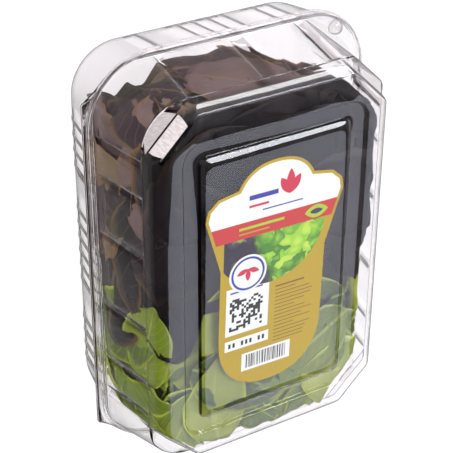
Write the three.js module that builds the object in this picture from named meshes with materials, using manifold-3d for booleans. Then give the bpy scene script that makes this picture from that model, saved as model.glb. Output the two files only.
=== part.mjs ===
// Clear hinged pack of salad leaves, lying on its back with the lid's face up.
// Millimetres. X runs across the pack, Y along it, Z up from the surface it lies on.
// The origin is under the middle of the pack's box, at the tub's flat base.
import * as THREE from 'three';
import { mergeVertices } from 'three/addons/utils/BufferGeometryUtils.js';
import Module from 'manifold-3d';

const wasm = await Module();
wasm.setup();

// Driving dimensions of the two shells
const RIM_Z = 47; // where the rims of tub and lid meet
const FACE_Z = 100.5; // top of the lid's face
const WALL = 0.8;
const GAP = 0.3; // between pieces that touch
const MOUTH = [86.5, 129.5]; // half sizes of both mouths
const MOUTH_ROUND = 30;
const RIM_WIDTH = 5;
const RIM_ROUND = 42;
const BEAD_HEIGHT = 1.7;
const BEAD_WIDTH = 3.6;
const HINGE_X = -94; // fold line of the hinge strip
const HINGE_HALF = 111;
const HINGE_FILLET = 5;

// Lid
const SHOULDER = [77.5, 120.5]; // half sizes where the wall turns into the bevel
const SHOULDER_ROUND = 27;
const BEVEL_DROP = 8;
const BEVEL_RUN = 4.7;
const RIGHT_CUT_MOUTH = 36; // flat corners on the side that opens leave room for the snaps
const RIGHT_CUT_SHOULDER = 20;
const CHANNEL = { half: [60.2, 99.7], round: 12, depth: 2.2, run: 1 };
const PANEL = { half: [49, 88.6], round: 5, rise: 1.6, run: 1 };
const NOTCH = { foot: 19.5, top: 21.5, drop: 12.5 }; // along the corner's diagonal
const LID_GROOVES_Y = [-87, -63.5, -25, 25, 63.5, 87];
const LID_GROOVES_X = [-46, 3, 46];
const GROOVE = { width: 6, wide: 12, depth: 1.6, top: 84, run: 3 };
const SNAP = { x: 71, y: 120, radius: 4.6, height: 3.4 };

// Tub
const BASE = [80.9, 123.9]; // half sizes at the foot of the wall
const BASE_ROUND = 30;
const BASE_BEVEL = 5;
const TUB_FLUTES_Y = [-84, -74, -64, -54, -25, -15, -5, 5, 15, 25, 54, 64, 74, 84];
const TUB_FLUTES_X = [-44, -17, -7, 3, 13, 34, 44];
const FLUTE = { width: 9, depth: 2.6, high: 40, run: 3 };

// Label, in its own frame before it is turned
const LABEL = {
  centre: [-1.5, 0],
  turn: THREE.MathUtils.degToRad(-1.5),
  head: 46,
  headTop: 57,
  headFoot: 47,
  notch: [25, 62.5],
  crown: 77,
  waist: 35.4,
  waistTop: 12,
  waistFoot: -38,
  foot: -75.5,
  thickness: 0.3,
};

// Heap of leaves: it fills the foot end, slopes away from the head end towards the tub's base,
// and leaves the two corners free on the side that opens
const CORE = { half: 66, left: -1, low: 3, high: 82, foot: -110, round: 34, cut: 40 };
const HEAD_END = { low: 82, bulge: 101, bulgeZ: 30, high: 109 }; // how far along Y the core reaches
const FREE_CORNER = { base: 54, rim: 50, shoulder: 27, top: 22 };
const HEAP_RIGHT = 5; // how much further than from the hinge side the heap stays from the lid's other side
const LEAF = { length: 80, width: 52, thickness: 0.9, wave: 3.4, across: 2, along: 4 };
const LEAF_ROWS = { rows: 5, columns: 3, pitch: [44, 43], turn: 22, lowest: 12, highest: 52 };
const SWING_ROOM = 2.5; // how far the heap keeps to the hinge side, for the lid to swing past it
const HEAP_GAP = 1.2;
const SEED = 41;

const CORNER_STEPS = 6;

// Seeded random numbers from 0 to 1
function randomSource(seed) {
  let state = seed;
  return () => {
    state = (state * 1664525 + 1013904223) % 4294967296;
    return state / 4294967296;
  };
}

// Closed geometry to solid
function solid(geometry) {
  const bare = geometry.clone();
  bare.deleteAttribute('normal');
  bare.deleteAttribute('uv');
  const merged = mergeVertices(bare, 1e-4);
  return new wasm.Manifold(new wasm.Mesh({
    numProp: 3,
    vertProperties: new Float32Array(merged.attributes.position.array),
    triVerts: new Uint32Array(merged.index.array),
  }));
}

// Solid back to geometry
function geometryOf(body) {
  const mesh = body.getMesh();
  const geometry = new THREE.BufferGeometry();
  geometry.setAttribute('position', new THREE.BufferAttribute(new Float32Array(mesh.vertProperties), 3));
  geometry.setIndex(new THREE.BufferAttribute(new Uint32Array(mesh.triVerts), 1));
  geometry.computeVertexNormals();
  return geometry;
}

const unite = (bodies) => bodies.reduce((sum, body) => sum.add(body));

// One corner of an outline, anticlockwise: turn 0 is +X+Y, 1 is -X+Y, 2 is -X-Y, 3 is +X-Y
function cornerPoints(turn, x, y, { round, cut }) {
  const sx = turn === 0 || turn === 3 ? 1 : -1;
  const sy = turn < 2 ? 1 : -1;
  const points = [];
  for (let i = 0; i <= CORNER_STEPS; i += 1) {
    const t = i / CORNER_STEPS;
    if (cut !== undefined) {
      const along = turn % 2 === 0 ? t : 1 - t;
      points.push([sx * (x - cut * along), sy * (y - cut * (1 - along))]);
    } else {
      const angle = (turn + t) * Math.PI / 2;
      points.push([sx * (x - round) + round * Math.cos(angle), sy * (y - round) + round * Math.sin(angle)]);
    }
  }
  return points;
}

// Four points of one rib or groove on a straight side: where it is, and how far it stands out
function ribPoints({ at, width, depth }) {
  return [[at - width / 2, 0], [at - width / 4, depth], [at + width / 4, depth], [at + width / 2, 0]];
}

// A level outline with ribs on its sides and a corner of its own on the left and on the right
function ring({ half: [x, y], z, left, right = left, sideRibs = [], endRibs = [], shift = [0, 0] }) {
  const side = sideRibs.flatMap(ribPoints);
  const end = endRibs.flatMap(ribPoints);
  const flat = [
    ...side.map(([at, out]) => [x + out, at]),
    ...cornerPoints(0, x, y, right),
    ...[...end].reverse().map(([at, out]) => [at, y + out]),
    ...cornerPoints(1, x, y, left),
    ...[...side].reverse().map(([at, out]) => [-x - out, at]),
    ...cornerPoints(2, x, y, left),
    ...end.map(([at, out]) => [at, -y - out]),
    ...cornerPoints(3, x, y, right),
  ];
  return flat.map(([px, py]) => new THREE.Vector3(px + shift[0], py + shift[1], z));
}

// A closed skin through rings of as many points each, capped at both ends
function loft(rings) {
  const count = rings[0].length;
  const positions = rings.flatMap((points) => points.flatMap((p) => p.toArray()));
  const index = [];
  for (let r = 0; r + 1 < rings.length; r += 1) {
    for (let i = 0; i < count; i += 1) {
      const j = (i + 1) % count;
      const [a, b, c, d] = [r * count + i, r * count + j, (r + 1) * count + j, (r + 1) * count + i];
      index.push(a, b, c, a, c, d);
    }
  }
  for (const [r, flip] of [[0, true], [rings.length - 1, false]]) {
    const middle = positions.length / 3;
    const box = new THREE.Box3().setFromPoints(rings[r]);
    positions.push(...box.getCenter(new THREE.Vector3()).toArray());
    for (let i = 0; i < count; i += 1) {
      const [a, b] = [r * count + i, r * count + ((i + 1) % count)];
      index.push(middle, flip ? b : a, flip ? a : b);
    }
  }
  const geometry = new THREE.BufferGeometry();
  geometry.setAttribute('position', new THREE.Float32BufferAttribute(positions, 3));
  geometry.setIndex(index);
  return geometry;
}

const grow = ([x, y], by) => [x + by, y + by];

// How far out the wall stands at a height between two outlines
const between = (low, high, t) => [0, 1].map((k) => THREE.MathUtils.lerp(low[k], high[k], t));

// The lid's skin, moved inwards by a thickness
function lidBody(inset, foot) {
  const wallTop = FACE_Z - BEVEL_DROP;
  const grooves = (depth) => ({
    sideRibs: LID_GROOVES_Y.map((at) => ({ at, width: GROOVE.width, depth: -depth })),
    endRibs: LID_GROOVES_X.map((at, i) => ({ at, width: i === 1 ? GROOVE.wide : GROOVE.width, depth: -depth })),
  });
  const wallRing = (z, depth) => {
    const t = (z - RIM_Z) / (wallTop - RIM_Z);
    return ring({
      half: grow(between(MOUTH, SHOULDER, t), -inset),
      z,
      left: { round: THREE.MathUtils.lerp(MOUTH_ROUND, SHOULDER_ROUND, t) },
      right: { cut: THREE.MathUtils.lerp(RIGHT_CUT_MOUTH, RIGHT_CUT_SHOULDER, t) - inset * (2 - Math.SQRT2) },
      ...grooves(depth),
    });
  };
  const level = (half, z, round, right = { round }, skin = -inset) => {
    const squeeze = (half[0] - round - inset) / (SHOULDER[0] - SHOULDER_ROUND);
    const sparse = (ribs) => ribs.map((rib) => ({ ...rib, at: rib.at * squeeze, width: rib.width * squeeze }));
    const { sideRibs, endRibs } = grooves(0);
    const ribs = { sideRibs: sparse(sideRibs), endRibs: sparse(endRibs) };
    return ring({ half: grow(half, skin), z: z - inset, left: { round }, right, ...ribs });
  };
  const faceRound = SHOULDER_ROUND - BEVEL_RUN;
  const channelFoot = FACE_Z - CHANNEL.depth;
  const channelFootRound = CHANNEL.round - CHANNEL.run;
  const body = solid(loft([
    wallRing(foot, GROOVE.depth),
    wallRing(GROOVE.top, GROOVE.depth),
    wallRing(GROOVE.top + GROOVE.run, 0),
    wallRing(wallTop - inset / 2, 0),
    level(grow(SHOULDER, -BEVEL_RUN), FACE_Z, faceRound, { cut: RIGHT_CUT_SHOULDER }),
    level(CHANNEL.half, FACE_Z, CHANNEL.round, { round: CHANNEL.round }, inset),
    level(grow(CHANNEL.half, -CHANNEL.run), channelFoot, channelFootRound, { round: channelFootRound }, inset),
    level(grow(PANEL.half, PANEL.run), channelFoot, PANEL.round + PANEL.run),
    level(PANEL.half, channelFoot + PANEL.rise, PANEL.round),
  ]));
  return notchCutters(inset).reduce((rest, cutter) => rest.subtract(cutter), body);
}

// Four prisms that cut a ledge and a sloping wall out of the lid's corners
function notchCutters(inset) {
  const reach = 40;
  const diagonal = (distance) => -distance - inset;
  const section = new THREE.Shape([
    new THREE.Vector2(reach, FACE_Z - NOTCH.drop - inset),
    new THREE.Vector2(reach, FACE_Z + reach),
    new THREE.Vector2(diagonal(NOTCH.top + 0.5 * reach * (NOTCH.top - NOTCH.foot) / NOTCH.drop), FACE_Z + 0.5 * reach),
    new THREE.Vector2(diagonal(NOTCH.foot), FACE_Z - NOTCH.drop - inset),
  ]);
  const prism = new THREE.ExtrudeGeometry(section, { depth: 2 * reach, bevelEnabled: false });
  prism.translate(0, 0, -reach).rotateX(Math.PI / 2);
  return [[1, 1], [-1, 1], [-1, -1], [1, -1]].map(([sx, sy]) => {
    const placed = prism.clone().rotateZ(Math.atan2(sy, sx));
    return solid(placed.translate(sx * SHOULDER[0], sy * SHOULDER[1], 0));
  });
}

// Rounded rectangle as a shape
function roundedShape([x, y], round) {
  const shape = new THREE.Shape();
  shape.absarc(x - round, y - round, round, 0, Math.PI / 2);
  shape.absarc(-x + round, y - round, round, Math.PI / 2, Math.PI);
  shape.absarc(-x + round, -y + round, round, Math.PI, 1.5 * Math.PI);
  shape.absarc(x - round, -y + round, round, 1.5 * Math.PI, 2 * Math.PI);
  return shape;
}

function slab(shape, low, high, steps = CORNER_STEPS) {
  const options = { depth: high - low, bevelEnabled: false, curveSegments: steps };
  return solid(new THREE.ExtrudeGeometry(shape, options).translate(0, 0, low));
}

// Rim plate with its hinge strip, which ends in concave fillets
function rimPlate(low, high) {
  const outer = grow(MOUTH, RIM_WIDTH);
  const edge = HINGE_X + GAP;
  const strip = new THREE.Shape();
  strip.moveTo(edge, -HINGE_HALF);
  strip.lineTo(edge, HINGE_HALF);
  strip.lineTo(edge + 1, HINGE_HALF);
  strip.quadraticCurveTo(-outer[0] + 1, HINGE_HALF, -outer[0] + 5, HINGE_HALF + HINGE_FILLET);
  strip.lineTo(-SHOULDER[0], HINGE_HALF);
  strip.lineTo(-SHOULDER[0], -HINGE_HALF);
  strip.lineTo(-outer[0] + 5, -HINGE_HALF - HINGE_FILLET);
  strip.quadraticCurveTo(-outer[0] + 1, -HINGE_HALF, edge + 1, -HINGE_HALF);
  return slab(roundedShape(outer, RIM_ROUND), low, high).add(slab(strip, low, high, 4));
}

// Raised bead that runs round the lid's rim
function bead(low) {
  const outer = grow(MOUTH, RIM_WIDTH);
  const ringShape = roundedShape(outer, RIM_ROUND);
  ringShape.holes.push(roundedShape(grow(outer, -BEAD_WIDTH), RIM_ROUND - BEAD_WIDTH));
  return slab(ringShape, low, low + BEAD_HEIGHT);
}

// Domed snap button on a corner of the rim
function snap(sy, low) {
  const profile = [[0, 0], [SNAP.radius, 0], [SNAP.radius * 0.85, SNAP.height * 0.65], [0, SNAP.height]];
  const dome = new THREE.LatheGeometry(profile.map(([r, z]) => new THREE.Vector2(r, z)), 12);
  return solid(dome.rotateX(Math.PI / 2).translate(SNAP.x, sy * SNAP.y, low));
}

function lidSolid() {
  const low = RIM_Z + GAP / 2;
  const plateTop = low + WALL;
  const shell = unite([
    lidBody(0, low),
    rimPlate(low, plateTop),
    bead(plateTop - GAP / 2),
    snap(1, plateTop - GAP / 2),
    snap(-1, plateTop - GAP / 2),
  ]);
  return shell.subtract(lidBody(WALL, low - 1));
}

// The tub's skin, moved inwards by a thickness
function tubBody(inset, top) {
  const wallRing = (z, depth, lift = 0) => {
    const t = z / RIM_Z;
    return ring({
      half: grow(between(BASE, MOUTH, t), -inset),
      z: z + lift,
      left: { round: THREE.MathUtils.lerp(BASE_ROUND, MOUTH_ROUND, t) },
      right: { round: THREE.MathUtils.lerp(BASE_ROUND, MOUTH_ROUND, t) },
      sideRibs: TUB_FLUTES_Y.map((at) => ({ at, width: FLUTE.width, depth })),
      endRibs: TUB_FLUTES_X.map((at) => ({ at, width: FLUTE.width, depth })),
    });
  };
  const foot = ring({
    half: grow(BASE, -BASE_BEVEL - inset),
    z: inset,
    left: { round: BASE_ROUND - BASE_BEVEL },
    sideRibs: TUB_FLUTES_Y.map((at) => ({ at, width: FLUTE.width, depth: 0 })),
    endRibs: TUB_FLUTES_X.map((at) => ({ at, width: FLUTE.width, depth: 0 })),
  });
  return solid(loft([
    foot,
    wallRing(BASE_BEVEL, 0, inset / 2),
    wallRing(BASE_BEVEL + FLUTE.run, FLUTE.depth),
    wallRing(FLUTE.high, FLUTE.depth),
    wallRing(top, 0),
  ]));
}

function tubSolid() {
  const top = RIM_Z - GAP / 2;
  const shell = tubBody(0, top).add(rimPlate(top - WALL, top));
  return shell.subtract(tubBody(WALL, top + 1));
}

// Outline of the die-cut label: domed crown, broad head, straight waist and round foot
function labelShape() {
  const L = LABEL;
  const half = [
    [L.waist, L.waistFoot], [L.waist, L.waistTop], [L.head, L.headFoot], [L.head - 1.5, L.headTop - 3],
    [L.head - 8, L.headTop + 3], [L.notch[0], L.notch[1]],
  ];
  const shape = new THREE.Shape();
  shape.moveTo(0, L.foot);
  shape.bezierCurveTo(L.waist * 0.75, L.foot, L.waist, L.foot * 0.75, ...half[0]);
  half.slice(1).forEach(([x, y]) => shape.lineTo(x, y));
  shape.bezierCurveTo(L.notch[0] * 0.8, L.crown - 4, L.notch[0] * 0.45, L.crown, 0, L.crown);
  shape.bezierCurveTo(-L.notch[0] * 0.45, L.crown, -L.notch[0] * 0.8, L.crown - 4, -L.notch[0], L.notch[1]);
  half.slice(0, -1).reverse().forEach(([x, y]) => shape.lineTo(-x, y));
  shape.bezierCurveTo(-L.waist, L.foot * 0.75, -L.waist * 0.75, L.foot, 0, L.foot);
  return shape;
}

function labelGeometry() {
  const low = FACE_Z - CHANNEL.depth + PANEL.rise + GAP;
  const options = { depth: LABEL.thickness, bevelEnabled: false, curveSegments: 10 };
  const plate = new THREE.ExtrudeGeometry(labelShape(), options);
  return plate.rotateZ(LABEL.turn).translate(...LABEL.centre, low);
}

// One thin wavy leaf, flat in XY, its stalk end at the origin and its tip along +X
function leafGeometry(random) {
  const { across, along, thickness, wave } = LEAF;
  const length = LEAF.length * (0.75 + 0.45 * random());
  const width = LEAF.width * (0.8 + 0.4 * random());
  const phase = random() * 2 * Math.PI;
  const positions = [];
  for (const side of [0.5, -0.5]) {
    for (let i = 0; i <= along; i += 1) {
      const t = i / along;
      const half = 0.5 * width * Math.sqrt(Math.sin(Math.PI * (0.06 + 0.9 * t ** 0.8)));
      for (let j = 0; j <= across; j += 1) {
        const s = (2 * j) / across - 1;
        const z = wave * s * s * Math.sin(phase + 5 * t + 2 * s) + side * thickness;
        positions.push(length * t * (1 - 0.12 * s * s), half * s, z);
      }
    }
  }
  const rows = across + 1;
  const offset = rows * (along + 1);
  const index = [];
  for (let i = 0; i < along; i += 1) {
    for (let j = 0; j < across; j += 1) {
      const [a, b, c, d] = [i * rows + j, (i + 1) * rows + j, (i + 1) * rows + j + 1, i * rows + j + 1];
      index.push(a, b, c, a, c, d);
      index.push(offset + a, offset + c, offset + b, offset + a, offset + d, offset + c);
    }
  }
  const border = [];
  for (let i = 0; i < along; i += 1) border.push(i * rows);
  for (let j = 0; j < across; j += 1) border.push(along * rows + j);
  for (let i = along; i > 0; i -= 1) border.push(i * rows + across);
  for (let j = across; j > 0; j -= 1) border.push(j);
  border.forEach((a, k) => {
    const b = border[(k + 1) % border.length];
    index.push(a, a + offset, b + offset, a, b + offset, b);
  });
  const geometry = new THREE.BufferGeometry();
  geometry.setAttribute('position', new THREE.Float32BufferAttribute(positions, 3));
  geometry.setIndex(index);
  return geometry;
}

// A leaf that lies against the core's side or top, its tip along a heading
function placedLeaf(random, { at, normal, heading, lean }) {
  const frame = new THREE.Matrix4();
  const up = normal.clone().normalize();
  const forward = heading.clone().addScaledVector(up, lean - heading.dot(up)).normalize();
  const sideways = new THREE.Vector3().crossVectors(up, forward).normalize();
  frame.makeBasis(forward, sideways, new THREE.Vector3().crossVectors(forward, sideways));
  frame.setPosition(at);
  return solid(leafGeometry(random).applyMatrix4(frame));
}

// Where the core's head end is at a height
function headAt(z) {
  const { low, bulge, bulgeZ, high } = HEAD_END;
  if (z < bulgeZ) return THREE.MathUtils.mapLinear(z, CORE.low, bulgeZ, low, bulge);
  return THREE.MathUtils.mapLinear(z, bulgeZ, CORE.high, bulge, high);
}

// Where the leaves lie: rows over the top of the heap, and one turn round its sides
function leafPlaces(random) {
  const places = [];
  const tilt = (spread) => (random() - 0.5) * spread;
  const { rows, columns, pitch, turn, lowest, highest } = LEAF_ROWS;
  for (let row = 0; row < rows; row += 1) {
    for (let column = 0; column < columns; column += 1) {
      const angle = random() * 2 * Math.PI;
      const x = (column - (columns - 1) / 2) * pitch[0] + tilt(16);
      const y = CORE.foot + 18 + row * pitch[1] + tilt(18);
      places.push({
        at: new THREE.Vector3(x, y, CORE.high - 2 + 5 * random()),
        normal: new THREE.Vector3(tilt(0.4), tilt(0.4), 1),
        heading: new THREE.Vector3(Math.cos(angle), Math.sin(angle), 0),
        lean: 0.05,
      });
    }
  }
  for (let i = 0; i < turn; i += 1) {
    const angle = (i / turn) * 2 * Math.PI;
    const out = new THREE.Vector3(Math.cos(angle), Math.sin(angle), 0);
    const height = (i % 2 === 0 ? lowest : highest) + 16 * random();
    const half = (headAt(height) - CORE.foot) / 2;
    const reach = Math.min((CORE.half + 2) / Math.abs(out.x), (half + 2) / Math.abs(out.y));
    const middle = new THREE.Vector3(CORE.left, headAt(height) - half, height);
    places.push({
      at: middle.addScaledVector(out, Math.min(reach, half)),
      normal: out.clone().setZ(tilt(0.5)),
      heading: new THREE.Vector3(-out.y, out.x, i % 2 === 0 ? 0.7 : 0.1).multiplyScalar(i % 3 === 0 ? -1 : 1),
      lean: 0.06,
    });
  }
  return places;
}

// The space inside the shut pack that the leaves may fill
function cavity() {
  const room = WALL + HEAP_GAP;
  const lidRoom = room + GROOVE.depth;
  const lidTop = FACE_Z - BEVEL_DROP - 2;
  const aside = HEAP_RIGHT / 2;
  const level = ([x, y], z, round, cut, by, shift = 0) => {
    return ring({ half: [x - by - shift, y - by], z, left: { round }, right: { cut }, shift: [-shift, 0] });
  };
  return solid(loft([
    level(grow(BASE, -BASE_BEVEL), room, BASE_ROUND + 6, FREE_CORNER.base, room),
    level(BASE, BASE_BEVEL + room, BASE_ROUND + 10, FREE_CORNER.base, room),
    level(grow(MOUTH, -SWING_ROOM), RIM_Z, MOUTH_ROUND + 18, FREE_CORNER.rim, lidRoom, aside),
    level(SHOULDER, lidTop, SHOULDER_ROUND + 22, FREE_CORNER.shoulder, lidRoom + 1, aside),
    level(SHOULDER, lidTop + 4, SHOULDER_ROUND + 16, FREE_CORNER.top, lidRoom + 8, aside),
  ]));
}

function heapSolid() {
  const random = randomSource(SEED);
  const { half, left, low, high, foot, round, cut } = CORE;
  const level = (by, z) => {
    const long = (headAt(z) - foot) / 2;
    const corners = { left: { round: round + by }, right: { cut } };
    return ring({ half: [half + by, long + by], z, ...corners, shift: [left, headAt(z) - long] });
  };
  const core = solid(loft([
    level(-8, low),
    level(0, low + 10),
    level(1, HEAD_END.bulgeZ),
    level(2, RIM_Z),
    level(-3, high - 8),
    level(-14, high),
  ]));
  const heap = unite([core, ...leafPlaces(random).map((place) => placedLeaf(random, place))]);
  return heap.intersect(cavity());
}

// Largest of a solid's loose pieces, so that a scrap left by the cut is dropped
function largestPiece(body) {
  return body.decompose().reduce((best, piece) => (piece.volume() > best.volume() ? piece : best));
}

const clearPlastic = { color: 0xe4e8ec, roughness: 0.08, metalness: 0, transparent: true, opacity: 0.35 };

function addPiece(group, name, geometry, look) {
  const mesh = new THREE.Mesh(geometry, new THREE.MeshStandardMaterial(look));
  mesh.name = name;
  group.add(mesh);
}

// The hinge strip makes the pack wider on one side, so the group is moved to the middle of its box
const pack = new THREE.Group();
pack.position.x = -(HINGE_X + GAP + MOUTH[0] + RIM_WIDTH) / 2;
addPiece(pack, 'tub', geometryOf(tubSolid()), clearPlastic);
addPiece(pack, 'lid', geometryOf(lidSolid()), clearPlastic);
addPiece(pack, 'leaves', geometryOf(largestPiece(heapSolid())), { color: 0x4a5a2c, roughness: 0.6, metalness: 0 });
addPiece(pack, 'label', labelGeometry(), { color: 0xc8a53c, roughness: 0.45, metalness: 0 });

export default pack;
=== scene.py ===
"""A clear hinged pack of salad leaves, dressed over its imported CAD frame.

Sizes in the dataclasses are millimetres in the CAD's own frame: X across the pack, Y along it towards
its head end, Z up from the surface that the tub lies on. Meshes are made in metres.
"""

import logging
import math
from dataclasses import dataclass, field
from enum import Enum

import bmesh
import bpy
import numpy as np
from mathutils import Matrix, Vector


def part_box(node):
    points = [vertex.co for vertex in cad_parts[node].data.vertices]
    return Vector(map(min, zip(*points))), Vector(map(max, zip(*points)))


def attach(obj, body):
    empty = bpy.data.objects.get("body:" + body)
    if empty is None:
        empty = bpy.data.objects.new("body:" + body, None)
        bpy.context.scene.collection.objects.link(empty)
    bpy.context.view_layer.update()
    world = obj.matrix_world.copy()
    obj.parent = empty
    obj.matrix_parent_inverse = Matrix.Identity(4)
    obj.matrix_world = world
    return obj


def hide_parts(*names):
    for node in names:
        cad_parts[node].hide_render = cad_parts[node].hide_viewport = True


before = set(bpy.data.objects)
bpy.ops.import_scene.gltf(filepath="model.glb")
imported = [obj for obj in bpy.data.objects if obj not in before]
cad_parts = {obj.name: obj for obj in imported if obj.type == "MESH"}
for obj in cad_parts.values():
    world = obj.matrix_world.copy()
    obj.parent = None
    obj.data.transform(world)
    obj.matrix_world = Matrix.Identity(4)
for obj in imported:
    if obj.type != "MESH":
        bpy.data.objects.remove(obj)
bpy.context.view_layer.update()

MM = 0.001
RIM_HALF_X = 91.5
MIDDLE_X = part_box("lid")[1][0] / MM - RIM_HALF_X  # the hinge strip puts the shells off the box's middle
SAME_POINT = 1e-6  # metres within which two points are one

Point = tuple[float, float]
Place = tuple[float, float, float]
Polygon = list[Point]
Knots = tuple[Point, ...]
Face = tuple[int, ...]
Colour = tuple[float, float, float]
Socket = bpy.types.NodeSocket

LEAF_MAP = "leaf_map"
LEAF_TONE = "leaf_tone"
LEAF_SIDE = "side"

log = logging.getLogger("salad_pack")


# Helpers


def linear(colour: Colour) -> tuple[float, float, float, float]:
    """Turns a colour of 0 to 255 on the screen into the linear values that a shader takes.

    Args:
        colour: Red, green and blue as a screen shows them.

    Returns:
        Linear red, green, blue and an alpha of 1.
    """
    shares = [channel / 255 for channel in colour]
    return (*[c / 12.92 if c <= 0.04045 else ((c + 0.055) / 1.055) ** 2.4 for c in shares], 1.0)


def smoothstep(low: float, high: float, value: np.ndarray) -> np.ndarray:
    """Rises smoothly from 0 at low to 1 at high."""
    t = np.clip((value - low) / (high - low), 0.0, 1.0)
    return t * t * (3 - 2 * t)


def ring(radius: float, count: int, middle: Point = (0.0, 0.0)) -> Polygon:
    """Returns points evenly spaced round a middle, anticlockwise from its right."""
    angles = [2 * math.pi * k / count for k in range(count)]
    return [(middle[0] + radius * math.cos(a), middle[1] + radius * math.sin(a)) for a in angles]


def grown(half: Point, by: float) -> Point:
    """Returns half sizes that are larger by a distance."""
    return half[0] + by, half[1] + by


def clean_normals(mesh: bpy.types.Mesh) -> None:
    """Merges points that coincide and turns every face outwards.

    Args:
        mesh: A closed mesh.
    """
    work = bmesh.new()
    work.from_mesh(mesh)
    bmesh.ops.remove_doubles(work, verts=work.verts, dist=SAME_POINT)
    bmesh.ops.recalc_face_normals(work, faces=work.faces)
    work.to_mesh(mesh)
    work.free()


def shade_smooth(mesh: bpy.types.Mesh, smooth: bool = True) -> None:
    """Shades all faces smooth, or all flat."""
    mesh.polygons.foreach_set("use_smooth", [smooth] * len(mesh.polygons))


def new_object(
    name: str,
    points: np.ndarray,
    faces: list[Face],
    materials: list[bpy.types.Material],
    smooth: bool = True,
) -> bpy.types.Object:
    """Makes a mesh object at the origin and links it to the scene.

    Args:
        name: The object's name.
        points: Positions in millimetres, one row each.
        faces: Point numbers of each face.
        materials: The materials, in slot order.
        smooth: Whether faces are shaded smooth.

    Returns:
        The new object.
    """
    mesh = bpy.data.meshes.new(name)
    mesh.from_pydata((np.asarray(points) * MM).tolist(), [], faces)
    shade_smooth(mesh, smooth)
    for material in materials:
        mesh.materials.append(material)
    piece = bpy.data.objects.new(name, mesh)
    bpy.context.scene.collection.objects.link(piece)
    return piece


def baked(piece: bpy.types.Object) -> bpy.types.Object:
    """Turns an object's evaluated form into its own plain mesh, and drops its modifiers."""
    depsgraph = bpy.context.evaluated_depsgraph_get()
    mesh = bpy.data.meshes.new_from_object(piece.evaluated_get(depsgraph), depsgraph=depsgraph)
    piece.modifiers.clear()
    piece.data = mesh
    return piece


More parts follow.
